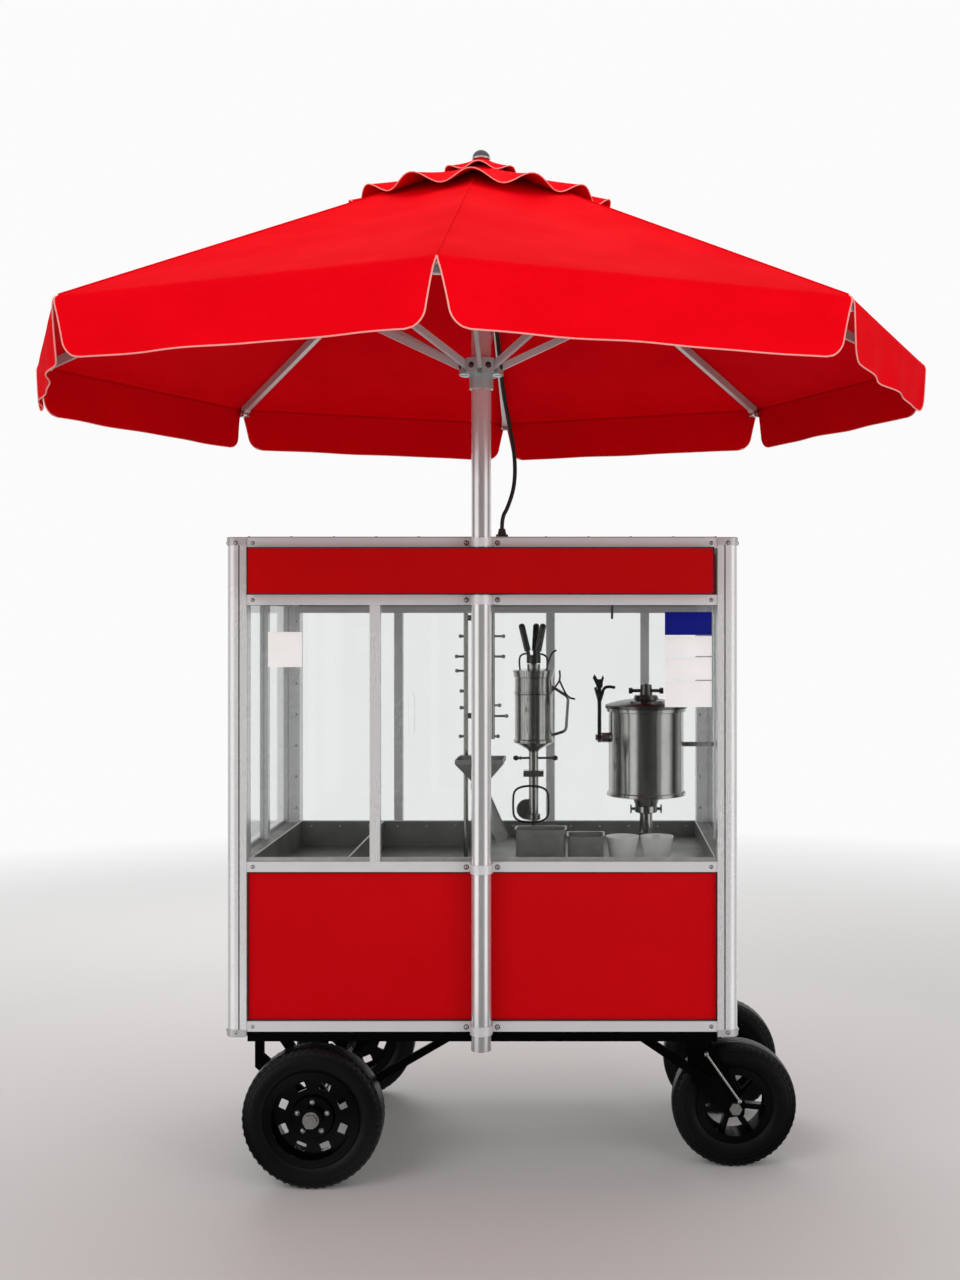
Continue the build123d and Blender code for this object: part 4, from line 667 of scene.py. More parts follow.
def cloth_sheet(
    columns: int, rows: int, place: Callable[[float, float], Vector], flat: Callable[[float, float], Span],
    thickness: float,
) -> bpy.types.Mesh:
    """Makes a sheet of cloth with a map of its own.

    Args:
        columns: Number of faces across.
        rows: Number of faces along.
        place: Gives the point at a share across and a share along.
        flat: Gives the place on the cloth's map at the same shares.
        thickness: Thickness of the cloth.

    Returns:
        The sheet's mesh.
    """
    bm = bmesh.new()
    bmesh.ops.create_grid(bm, x_segments=columns, y_segments=rows, size=0.5)
    uv_layer = bm.loops.layers.uv.new("cloth")
    for face in bm.faces:
        for loop in face.loops:
            loop[uv_layer].uv = flat(loop.vert.co.x + 0.5, loop.vert.co.y + 0.5)
    for vert in bm.verts:
        vert.co = place(vert.co.x + 0.5, vert.co.y + 0.5)
    bmesh.ops.remove_doubles(bm, verts=bm.verts[:], dist=1e-5)
    bmesh.ops.recalc_face_normals(bm, faces=bm.faces[:])
    if sum(face.normal.z for face in bm.faces) < 0:
        bmesh.ops.reverse_faces(bm, faces=bm.faces[:])
    bmesh.ops.solidify(bm, geom=bm.faces[:], thickness=thickness)
    return to_mesh(bm, 60.0)


def node_box(name: str) -> tuple[Vector, Vector]:
    """Returns the lowest and highest corner of a CAD node at rest."""
    low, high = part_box(name)
    return Vector(low), Vector(high)


def raised(direction: Vector, reach: float, height: float) -> Vector:
    """Returns the point at a distance along a level direction and at a height."""
    return direction * reach + Vector((0.0, 0.0, height))


class Head(Enum):
    """Fasteners: how far they are sunk and raised, the foot's radius and sides, and the dome's radius and height.

    Lengths are shares of the fastener's own radius.
    """

    SCREW = (0.2, 0.25, 1.5, 16, 1.0, 0.6)
    NUT = (0.5, 0.7, 1.0, 6, 0.78, 0.7)


class Shaper:
    """Collects small solids in one bmesh and hands them over as one piece."""

    def __init__(self) -> None:
        """Starts with an empty bmesh."""
        self.bm = bmesh.new()

    @staticmethod
    def toward(place: Place, axis: Place) -> Matrix:
        """Returns the matrix that stands a shape's +Z along an axis at a place."""
        turn = Vector(axis).to_track_quat("Z", "Y").to_matrix().to_4x4()
        return Matrix.Translation(place) @ turn

    @staticmethod
    def edges_of(verts: Sequence[bmesh.types.BMVert]) -> list[bmesh.types.BMEdge]:
        """Returns the edges that meet at some vertices, once each."""
        return list(dict.fromkeys(edge for vert in verts for edge in vert.link_edges))

    def bevel(self, edges: list[bmesh.types.BMEdge], width: float, segments: int = 2) -> None:
        """Bevels some edges to a width."""
        bmesh.ops.bevel(
            self.bm, geom=edges, offset=width, segments=segments, profile=0.5, affect="EDGES", material=-1
        )

    def rod(self, start: Place, end: Place, radius: float, sides: int = 12) -> None:
        """Adds a straight bar.

        Args:
            start: Middle of one end.
            end: Middle of the other end.
            radius: Radius, measured to the corners.
            sides: Number of sides.
        """
        first, last = Vector(start), Vector(end)
        stand = self.toward((first + last) / 2, last - first)
        bmesh.ops.create_cone(
            self.bm, cap_ends=True, segments=sides, radius1=radius, radius2=radius, depth=(last - first).length,
            matrix=stand,
        )

    def dome(self, place: Place, axis: Place, radius: float, height: float) -> None:
        """Adds a flattened ball, half sunk at its place, with half its height along the axis."""
        shape = self.toward(place, axis) @ Matrix.Diagonal((radius, radius, height, 1.0))
        bmesh.ops.create_uvsphere(self.bm, u_segments=12, v_segments=8, radius=1.0, matrix=shape)

    def block(self, stand: Matrix, size: Place, bevel: float = 0.0) -> None:
        """Adds a box of a size about a stand, bevelled where a width is given."""
        made = bmesh.ops.create_cube(self.bm, size=1.0, matrix=stand @ Matrix.Diagonal((*size, 1.0)))
        if bevel > 0:
            self.bevel(self.edges_of(made["verts"]), bevel)

    def box(self, low: Sequence[float], high: Sequence[float], bevel: float = 0.0) -> None:
        """Adds a box between two corners that lie across from each other."""
        first, last = (Vector(ends) for ends in zip(*(sorted(pair) for pair in zip(low, high))))
        self.block(Matrix.Translation((first + last) / 2), last - first, bevel)

    def border(self, low: Place, high: Place, strip: float, bevel: float) -> None:
        """Adds four strips round an upright plate: the foot, the top and the two sides.

        Args:
            low: One corner of the plate.
            high: The corner across from it.
            strip: Width of the strips.
            bevel: Width of the bevel on their edges.
        """
        across = 0 if abs(high[0] - low[0]) > abs(high[1] - low[1]) else 1
        for axis in (2, across):
            for end, inward in ((0, strip), (1, -strip)):
                corners = [list(low), list(high)]
                corners[1 - end][axis] = corners[end][axis] + inward
                self.box(*corners, bevel)

    def ring(self, place: Place, axis: Place, radius: float, tube: float) -> None:
        """Adds a round ring by spinning a circle.

        Args:
            place: Middle of the ring.
            axis: Axis of the ring.
            radius: Radius to the middle of the tube.
            tube: Radius of the tube.
        """
        stand = self.toward(place, axis) @ Matrix.Translation((radius, 0.0, 0.0))
        profile = stand @ Matrix.Rotation(math.pi / 2, 4, "X")
        verts = bmesh.ops.create_circle(self.bm, segments=8, radius=tube, matrix=profile)["verts"]
        bmesh.ops.spin(
            self.bm, geom=verts + self.edges_of(verts), cent=Vector(place), axis=Vector(axis), angle=FULL_TURN,
            steps=72, use_merge=True,
        )

    def fasten(self, head: Head, place: Place, axis: Place, radius: float) -> None:
        """Adds a flat foot, round or six-sided, under a domed cap.

        Args:
            head: Kind of fastener.
            place: Middle of the foot, on the face that it sits on.
            axis: Direction of the cap.
            radius: Radius that its measures go by.
        """
        sunk, rise, foot, sides, wide, tall = head.value
        spot, up = Vector(place), Vector(axis).normalized()
        top = spot + up * radius * rise
        self.rod(spot - up * radius * sunk, top, radius * foot, sides)
        self.dome(top, up, radius * wide, radius * tall)

    def piece(self, name: str, finish: Surface, body: str = ROOT, slot: str | None = None) -> None:
        """Hands the collected solids over as one piece."""
        bmesh.ops.recalc_face_normals(self.bm, faces=self.bm.faces[:])
        add_piece(name, to_mesh(self.bm), finish, body)


@dataclass
class Parasol:
    """Canopy of sagging gores with hanging flaps, its hems and seams, and its small metal fittings."""

    rib_count: int = 8
    corner_radius: float = 1.078
    crown_radius: float = 0.046
    crown_height: float = 2.4754
    rim_height: float = 2.0046
    cloth: float = 0.0018
    sag: float = 0.016
    sag_power: float = 1.4
    ripple: float = 0.004
    ripple_scale: float = 5.0
    fold: float = 0.016
    flap_drop: float = 0.1185
    flap_round: float = 0.032
    flap_slit: float = 0.030
    slit_power: float = 0.8
    flap_wave: float = 0.006
    flap_swings: tuple[Point, ...] = ((1.0, 17.0, 1.3), (0.6, 29.0, 2.1))
    flap_calm: float = 0.3
    flap_tuck: float = 0.004
    flap_power: float = 1.4
    piping: float = 0.0016
    piping_steps: int = 40
    piped_slit: float = 0.97
    seam: float = 0.0014
    seam_steps: int = 20
    columns: int = 20
    gore_rows: int = 26
    fold_rows: int = 6
    flap_rows: int = 12
    tip_radius: float = 1.060
    tip_height: float = 1.9885
    tip_size: Point = (0.026, 0.022, 0.020)
    tip_bevel: float = 0.004
    tip_rivet: Span = (0.006, 0.003)
    pivot_radius: float = 0.5175
    pivot_height: float = 2.2188
    pivot_half: float = 0.013
    pivot_cap: Span = (0.008, 0.006)
    runner_radius: float = 0.0534
    runner_height: float = 1.997
    runner_bolt: float = 0.0048
    collar_height: float = 2.5036
    collar_radius: float = 0.0198
    collar_tube: float = 0.0030
    half_angle: float = field(init=False)
    half_side: float = field(init=False)
    apothem: float = field(init=False)
    slant: float = field(init=False)
    turn: Span = field(init=False)

    def __post_init__(self) -> None:
        """Works out the angle, width and length of a half gore, and the shares that turn over at the rim."""
        self.half_angle = math.pi / self.rib_count
        self.half_side = self.corner_radius * math.sin(self.half_angle)
        self.apothem = self.corner_radius * math.cos(self.half_angle)
        self.slant = math.hypot(self.corner_radius - self.crown_radius, self.crown_height - self.rim_height)
        self.turn = (self.fold / self.slant, self.fold / self.flap_drop)

    def rib_angle(self, rib: int) -> float:
        """Returns the angle of a rib, counted from 0 along +X."""
        return FULL_TURN * rib / self.rib_count

    def axes(self, rib: int, side: int) -> tuple[Vector, Vector]:
        """Finds the directions of the half gore beside a rib.

        Args:
            rib: Number of the rib, from 0.
            side: 1 for the half after the rib, -1 for the half before it.

        Returns:
            The outward direction of the gore's middle, and the direction from the middle to the rib.
        """
        middle = self.rib_angle(rib) + side * self.half_angle
        outward = Vector((math.cos(middle), math.sin(middle), 0.0))
        sideways = Vector((math.sin(middle), -math.cos(middle), 0.0)) * side
        return outward, sideways

    def flap_edge(self, depth: float) -> float:
        """Half width of a flap below the rim.

        Args:
            depth: Distance below the rim.

        Returns:
            Distance from the gore's middle to the flap's side edge.
        """
        width = self.half_side - self.flap_slit * min(depth / self.flap_drop, 1.0) ** self.slit_power
        over = max(depth - (self.flap_drop - self.flap_round), 0.0)
        return width - self.flap_round + math.sqrt(max(self.flap_round**2 - over**2, 0.0))

    def gore_point(self, across: float, share: float, rib: int, side: int) -> Vector:
        """Places one point between the crown and the rim.

        Args:
            across: 0 at the gore's middle and 1 at the rib.
            share: 0 at the crown and 1 at the rim.
            rib: Number of the rib.
            side: Side of the rib, 1 or -1.

        Returns:
            The point in the row frame.
        """
        outward, sideways = self.axes(rib, side)
        corner = self.crown_radius + share * (self.corner_radius - self.crown_radius)
        height = self.crown_height + share * (self.rim_height - self.crown_height)
        width = corner * math.sin(self.half_angle)
        point = outward * (corner * math.cos(self.half_angle)) + sideways * (width * across)
        hang = math.sin(math.pi * share**self.sag_power) * (1 - across**2)
        uneven = noise.noise(point * self.ripple_scale) * self.ripple * (1 - across**4) * math.sin(math.pi * share)
        return point + Vector((0.0, 0.0, height - self.sag * hang + uneven))

    def flap_point(self, across: float, share: float, rib: int, side: int) -> Vector:
        """Places one point between the rim and the hem.

        Args:
            across: 0 at the gore's middle and 1 at the slit.
            share: 0 at the rim and 1 at the hem.
            rib: Number of the rib.
            side: Side of the rib, 1 or -1.

        Returns:
            The point in the row frame.
        """
        outward, sideways = self.axes(rib, side)
        gore = rib if side > 0 else (rib - 1) % self.rib_count
        depth = share * self.flap_drop
        offset = self.flap_edge(depth) * across
        swing = sum(
            size * math.sin(offset * side * pitch + gore * shift) for size, pitch, shift in self.flap_swings
        )
        billow = self.flap_wave * swing * (1 - self.flap_calm * across**2) - self.flap_tuck
        reach = self.apothem + billow * share**self.flap_power
        return outward * reach + sideways * offset + Vector((0.0, 0.0, self.rim_height - depth))

    def cloth_point(self, across: float, along: float, rib: int, side: int) -> Vector:
        """Places one point of a half gore and its flap, with a soft turn at the rim.

        Args:
            across: 0 at the gore's middle and 1 at the rib.
            along: 0 at the crown, 1 at the rim and 2 at the hem.
            rib: Number of the rib.
            side: Side of the rib, 1 or -1.

        Returns:
            The point in the row frame.
        """
        above, below = self.turn
        if along <= 1 - above:
            return self.gore_point(across, along, rib, side)
        if along >= 1 + below:
            return self.flap_point(across, along - 1, rib, side)
        share = (along - 1 + above) / (above + below)
        corner = self.gore_point(across, 1.0, rib, side)
        first = self.gore_point(across, 1 - above, rib, side).lerp(corner, share)
        last = corner.lerp(self.flap_point(across, below, rib, side), share)
        return first.lerp(last, share)

    def map_point(self, across: float, along: float) -> Span:
        """Returns a point's lengths across and from the crown on the cloth's map."""
        length = self.slant * min(along, 1.0) + self.flap_drop * max(along - 1.0, 0.0)
        return self.half_side * min(max(along, 0.05), 1.0) * across, length

    def rows(self) -> list[float]:
        """Returns the places along the cloth where its rows of vertices lie, closer together in the turn."""
        above, below = self.turn
        gore = [(1 - above) * step / self.gore_rows for step in range(self.gore_rows)]
        turn = [1 - above + (above + below) * step / self.fold_rows for step in range(self.fold_rows)]
        flap = [1 + below + (1 - below) * step / self.flap_rows for step in range(self.flap_rows + 1)]
        return gore + turn + flap

    def half_gore(self, rib: int, side: int) -> tuple[bpy.types.Object, bpy.types.Object]:
        """Builds the cloth from the middle of a gore to one rib, and the pale piping of its hem and slit.

        Args:
            rib: Number of the rib.
            side: Side of the rib.

        Returns:
            The cloth piece and the piping piece.
        """
        rows, steps = self.rows(), self.piping_steps
        last = len(rows) - 1
        sheet = cloth_sheet(
            self.columns, last,
            lambda across, share: self.cloth_point(across, rows[round(share * last)], rib, side),
            lambda across, share: self.map_point(across * side, rows[round(share * last)]),
            self.cloth,
        )
        end = f"{rib + 1}_{'after' if side > 0 else 'before'}"
        cloth = add_piece(f"canopy_{end}", sheet, RED_CLOTH, None)
        hem = [self.cloth_point(step / steps, 2.0, rib, side) for step in range(steps + 1)]
        hem += [
            self.cloth_point(1.0, 2.0 - step / steps * self.piped_slit, rib, side) for step in range(1, steps + 1)
        ]
        bead = curve_mesh(tube_curve([hem], self.piping))
        return cloth, add_piece(f"hem_piping_{end}", bead, PIPING_CLOTH, None)

    def build_seam(self, rib: int) -> None:
        """Builds the rolled seam over one rib.

        Args:
            rib: Number of the rib.
        """
        lift = Vector((0.0, 0.0, self.cloth / 2))
        last = 1 - self.turn[0]
        shares = [last * step / self.seam_steps for step in range(1, self.seam_steps + 1)]
        points = [self.gore_point(1.0, share, rib, 1) + lift for share in shares]
        points.append(self.cloth_point(1.0, 1.0, rib, 1) + lift)
        mesh = curve_mesh(tube_curve([points], self.seam))
        add_piece(f"rib_seam_{rib + 1}", mesh, RED_CLOTH, f"rib_arm_{rib + 1}")

    def build_rib_fittings(self, rib: int) -> None:
        """Builds the block at a rib's tip and the cap nuts at its strut.

        Args:
            rib: Number of the rib.
        """
        angle = self.rib_angle(rib)
        outward = Vector((math.cos(angle), math.sin(angle), 0.0))
        tangent = Vector((-math.sin(angle), math.cos(angle), 0.0))
        tip = raised(outward, self.tip_radius, self.tip_height)
        pivot = raised(outward, self.pivot_radius, self.pivot_height)
        fittings = Shaper()
        fittings.block(Matrix.Translation(tip) @ Matrix.Rotation(angle, 4, "Z"), self.tip_size, self.tip_bevel)
        pairs = ((tip, self.tip_size[1] / 2, self.tip_rivet), (pivot, self.pivot_half, self.pivot_cap))
        for place, half, cap in pairs:
            for side in (-1, 1):
                fittings.dome(place + tangent * (side * half), tangent, *cap)
        fittings.piece(f"rib_fittings_{rib + 1}", CHROME, f"rib_arm_{rib + 1}", "chrome_fitting")

    def build_mast_fittings(self) -> None:
        """Builds the bolts round the runner and the collar under the finial."""
        bolts = Shaper()
        for rib in range(self.rib_count):
            outward = self.axes(rib, 1)[0]
            place = raised(outward, self.runner_radius, self.runner_height)
            bolts.fasten(Head.SCREW, place, outward, self.runner_bolt)
        bolts.piece("runner_bolts", DARK_STEEL, "parasol_runner")
        collar = Shaper()
        collar.ring((0.0, 0.0, self.collar_height), UP, self.collar_radius, self.collar_tube)
        collar.piece("finial_collar", CHROME, slot="chrome_fitting")

    def build(self) -> None:
        """Builds every half gore and adds the seams and fittings."""
        for rib in range(self.rib_count):
            for side in (-1, 1):
                cloth, piping = self.half_gore(rib, side)
                outward, sideways = self.axes(rib, side)
                start = raised(outward, self.apothem, self.rim_height)
                for piece in (cloth, piping):
                    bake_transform(piece)
                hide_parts("canopy")
            self.build_seam(rib)
            self.build_rib_fittings(rib)
        self.build_mast_fittings()


@dataclass
class VentTier:
    """One ruffled cap over the crown of the parasol."""

    name: str
    top_height: float
    hem_radius: float
    hem_height: float
    waves: int
    wave_out: float
    wave_up: float
    phase: float
    flat_radius: float = 0.050
    inner_radius: float = 0.0142
    cloth: float = 0.0016
    piping: float = 0.0013
    rings: int = 18
    wave_steps: int = 14
    sag: float = 0.85
    out_power: float = 2.0
    up_power: float = 1.7
    stray: float = 0.14
    stray_waves: int = 3
    stray_phase: float = 0.6
    map_share: float = 0.7
    slope_share: float = 0.2

    def point(self, turn: float, share: float) -> Vector:
        """Places one point of the tier.

        Args:
            turn: Angle about the mast.
            share: 0 at the finial and 1 at the hem.

        Returns:
            The point in the row frame.
        """
        radius = self.inner_radius + share * (self.hem_radius - self.inner_radius)
        out = max((radius - self.flat_radius) / (self.hem_radius - self.flat_radius), 0.0)
        swing = math.cos(self.waves * turn + self.phase)
        swing += self.stray * math.sin(self.stray_waves * turn + self.stray_phase)
        reach = radius + self.wave_out * swing * out**self.out_power
        height = self.top_height + (self.hem_height - self.top_height) * out**self.sag
        height += self.wave_up * swing * out**self.up_power
        return Vector((reach * math.cos(turn), reach * math.sin(turn), height))

    def build(self) -> None:
        """Builds the ruffled cloth and its hem."""
        steps = self.waves * self.wave_steps
        around = FULL_TURN * self.hem_radius * self.map_share
        sheet = cloth_sheet(
            steps, self.rings,
            lambda turn, share: self.point(turn * FULL_TURN, share),
            lambda turn, share: (turn * around, share * self.hem_radius),
            self.cloth,
        )
        cloth = add_piece(self.name, sheet, RED_CLOTH)
        hem = [self.point(FULL_TURN * step / steps, 1.0) for step in range(steps)]
        bead = curve_mesh(tube_curve([hem], self.piping, closed=True))
        piping = add_piece(f"{self.name}_piping", bead, PIPING_CLOTH)
        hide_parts("vent_tiers")


@dataclass
class LampCord:
    """Black lead that hangs from the clip on the mast to the gland on the roof."""

    diameter: float = 0.010
    length: float = 0.693
    sides: int = 4
    bends: int = 12
    route: tuple[Point, ...] = (
        (0.0222, 0.05358, 2.2899),
        (0.0222, 0.05358, 2.226),
        (0.029, 0.071, 2.140),
        (0.038, 0.091, 2.050),
        (0.046, 0.102, 1.962),
        (0.062, 0.106, 1.876),
        (0.077, 0.101, 1.794),
        (0.077, 0.090, 1.720),
        (0.060, 0.079, 1.664),
        (0.046, 0.074, 1.640),
        (0.046, 0.074, 1.6121),
    )

    def build(self) -> None:
        """Builds the cord as one smooth curve."""
        curve = tube_curve([self.route], self.diameter / 2, self.sides, bends=self.bends)
        curve.name = "lamp_cord_line"
        curve.materials.append(CORD_RUBBER.material())
        cord = bpy.data.objects.new("lamp_lead", curve)
        bpy.context.scene.collection.objects.link(cord)
        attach(cord, ROOT)
        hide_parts("lamp_cord")
        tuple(self.route[0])
        LOG.info("piece %s", cord.name)


@dataclass(frozen=True)
class Row:
    """Evenly spaced places along one direction."""

    start: float
    pitch: float
    count: int

    def places(self) -> list[float]:
        """Returns the places in order."""
        return [self.start + step * self.pitch for step in range(self.count)]


@dataclass
class CabinetTrim:
    """Screws, seals, black strips that paint shade in the posts' slots and round the sign, glazing beads, deck
    rims, rivets, blank cards and a hook on the cabinet.
    """

    rail_levels: tuple[float, ...] = (0.381, 0.771, 1.423, 1.562)
    rail_half: float = 0.0125
    rail_faces: Span = (0.026, 0.740)
    clamp_face: float = 0.023
    clamp_screw_x: float = 0.038
    clamp_screw: float = 0.0045
    end_screw_x: float = 0.560
    end_screw: float = 0.0034
    corner_x: float = 0.600
    corner_insets: Point = (0.012, 0.014, 0.027)
    corner_screw: float = 0.0036
    panel_front: float = 0.0365
    panel_heights: Span = (0.406, 0.771)
    panel_ends: Span = (0.0125, 0.575)
    side_panel_x: float = 0.617
    side_panel_ends: Span = (0.073, 0.693)
    seal: float = 0.003
    seal_depth: float = 0.0055
    seal_bevel: float = 0.0008
    post_slot: float = 0.003
    post_slot_inset: float = 0.032
    post_slot_skin: float = 0.0002
    sign_strip: float = 0.0032
    sign_bevel: float = 0.0004
    bead: Span = (0.006, 0.010)
    bead_bevel: float = 0.001
    deck_half: float = 0.573
    deck_depths: Span = (0.053, 0.713)
    deck_dividers: Span = (-0.334, -0.016)
    deck_rim: float = 0.0018
    deck_rim_height: float = 0.7985
    deck_rim_sides: int = 8
    post_face: float = 0.693
    post_rivet_x: float = 0.586
    post_rivets: Row = Row(0.84, 0.09, 7)
    post_rivet: Span = (0.0042, 0.0026)
    deck_wall: float = 0.712
    deck_rivet_height: float = 0.783
    deck_rivets: Row = Row(-0.545, 0.084, 14)
    deck_rivet: Span = (0.0036, 0.0022)
    roof_rivets: Row = Row(0.05, 0.104, 12)
    roof_rivet: Span = (0.0036, 0.002)
    roof_inset: float = 0.014
    mast_clear: float = 0.1
    card: float = 0.0006
    card_sink: float = 0.0001
    card_bevel: float = 0.0002
    card_ends: Span = (0.447, 0.562)
    blue_card: Span = (1.3496, 1.406)
    pale_cards: tuple[Span, ...] = ((1.2980, 1.3468), (1.2400, 1.2952), (1.1730, 1.2372))
    lone_card: tuple[Span, Span] = ((-0.525, -0.4415), (1.271, 1.357))
    hook_x: float = 0.318
    hook: tuple[Span, ...] = ((0.045, 1.4235), (0.045, 1.404), (0.047, 1.392), (0.056, 1.390), (0.062, 1.398))
    hook_wire: float = 0.0030

    def build(self) -> None:
        """Builds every fitting of the cabinet."""
        self.build_screws()
        self.build_seals()
        self.build_beads()
        self.build_deck_rims()
        self.build_rivets()
        self.build_cards()
        wire_piece("rail_hook", [[(self.hook_x, depth, height) for depth, height in self.hook]], self.hook_wire)

    def build_screws(self) -> None:
        """Builds the screws of the mast clamps, rails and corner connectors."""
        screws = Shaper()
        for level in self.rail_levels:
            height = level + self.rail_half
            for side in (-1, 1):
                place = (side * self.clamp_screw_x, self.clamp_face, height)
                screws.fasten(Head.SCREW, place, FRONT, self.clamp_screw)
                for depth, facing in zip(self.rail_faces, (FRONT, BACK)):
                    screws.fasten(Head.SCREW, (side * self.end_screw_x, depth, height), facing, self.end_screw)
        low, high = node_box("corner_connectors")
        foot, top, aside = self.corner_insets
        for side in (-1, 1):
            for height in (low.z + foot, high.z - top):
                for depth, facing in ((low.y, FRONT), (high.y, BACK)):
                    screws.fasten(Head.SCREW, (side * self.corner_x, depth, height), facing, self.corner_screw)
                for depth in (low.y + aside, high.y - aside):
                    outward = (side, 0.0, 0.0)
                    screws.fasten(Head.SCREW, (side * high.x, depth, height), outward, self.corner_screw)
        screws.piece("frame_screws", AXLE_ZINC, slot="axle_steel")

    def build_seals(self) -> None:
        """Builds the black seals round the lower panels, and black strips in the posts' slots and round the sign
        that paint their shade.
        """
        seals = Shaper()
        bottom, top = self.panel_heights
        front, back = self.panel_front - self.seal_depth, self.panel_front
        near, far = self.panel_ends
        for left, right in ((-far, -near), (near, far)):
            seals.border((left, front, bottom), (right, back, top), self.seal, self.seal_bevel)
        start, end = self.side_panel_ends
        for side in (-1, 1):
            inner, outer = side * (self.side_panel_x - self.seal_depth), side * self.side_panel_x
            seals.border((inner, start, bottom), (outer, end, top), self.seal, self.seal_bevel)
        # painted shade: black strips fill the corner posts' slots
        self.add_slot_shade_strips(seals)
        # painted shadow: a black strip round the sign stands in for the thin shadow at its edges
        low, high = node_box("sign_panel")
        front, back = low.y - self.sign_strip / 3, low.y + self.sign_strip
        seals.border((low.x, front, low.z), (high.x, back, high.z), self.sign_strip, self.sign_bevel)
        seals.piece("seals_and_painted_shade_strips", SEAL_RUBBER)

    def add_slot_shade_strips(self, seals: Shaper) -> None:
        """Fills the slot in each outer face of the corner posts with a black strip, which paints the slot's shade.

        Args:
            seals: Shaper that takes the strips.
        """
        low, high = node_box("corner_posts")
        half, skin, deep = self.post_slot / 2, self.post_slot_skin, self.post_slot - self.post_slot_skin
        for side in (-1, 1):
            across = side * (high.x - self.post_slot_inset)
            for face, inward in ((low.y, 1), (high.y, -1)):
                middle = face + inward * self.post_slot_inset
                # painted shade: one black strip in the front or back slot and one in the side slot
                seals.box(
                    (across - half, face + inward * skin, low.z), (across + half, face + inward * deep, high.z)
                )
                seals.box(
                    (side * (high.x - skin), middle - half, low.z), (side * (high.x - deep), middle + half, high.z)
                )

    def build_beads(self) -> None:
        """Builds the beads that hold the lower edges of the front and side panes, in darker pan steel that also
        paints the shade they sit in.
        """
        beads = Shaper()
        depth, rise = self.bead
        low = self.panel_heights[1] + 2 * self.rail_half
        high = low + rise
        reach = self.panel_ends[1]
        beads.box((-reach, self.panel_front - depth, low), (reach, self.panel_front, high), self.bead_bevel)
        start, end = self.side_panel_ends
        for side in (-1, 1):
            inner, outer = side * self.side_panel_x, side * (self.side_panel_x + depth)
            beads.box((inner, start, low), (outer, end, high), self.bead_bevel)
        # partly painted shade: the darker pan steel also stands in for the shade on the beads
        beads.piece("glazing_beads", PAN_STEEL)

    def build_deck_rims(self) -> None:
        """Builds the rolled rims along the edges of the deck's bins."""
        front, back = self.deck_depths
        lines = [((-self.deck_half, depth), (self.deck_half, depth)) for depth in self.deck_depths]
        places = (-self.deck_half, *self.deck_dividers, self.deck_half)
        lines += [((place, front), (place, back)) for place in places]
        rims = Shaper()
        for start, end in lines:
            ends = ((*start, self.deck_rim_height), (*end, self.deck_rim_height))
            rims.rod(*ends, self.deck_rim, self.deck_rim_sides)
        rims.piece("deck_rims", FRAME_ALUMINIUM)

    def build_rivets(self) -> None:
        """Builds the rivets of the inner posts, the deck and the roof."""
        rivets = Shaper()
        for side in (-1, 1):
            for height in self.post_rivets.places():
                rivets.dome((side * self.post_rivet_x, self.post_face, height), FRONT, *self.post_rivet)
        for across in self.deck_rivets.places():
            rivets.dome((across, self.deck_wall, self.deck_rivet_height), FRONT, *self.deck_rivet)
        low, high = node_box("roof_panel")
        for depth in (low.y + self.roof_inset, high.y - self.roof_inset):
            for place in self.roof_rivets.places():
                if max(depth, abs(low.x + place)) > self.mast_clear:
                    rivets.dome((low.x + place, depth, high.z), UP, *self.roof_rivet)
        rivets.piece("frame_rivets", AXLE_ZINC, slot="axle_steel")

    def build_cards(self) -> None:
        """Builds the plain cards stuck to the front panes."""
        cards = [(CARD_PALE, self.card_ends, heights) for heights in self.pale_cards]
        cards += [(CARD_PALE, *self.lone_card), (CARD_BLUE, self.card_ends, self.blue_card)]
        stacks = {CARD_PALE: Shaper(), CARD_BLUE: Shaper()}
        front, back = self.panel_front - self.card, self.panel_front + self.card_sink
        for finish, (left, right), (low, high) in cards:
            stacks[finish].box((left, front, low), (right, back, high), self.card_bevel)
        stacks[CARD_PALE].piece("blank_cards", CARD_PALE)
        stacks[CARD_BLUE].piece("blank_blue_card", CARD_BLUE)


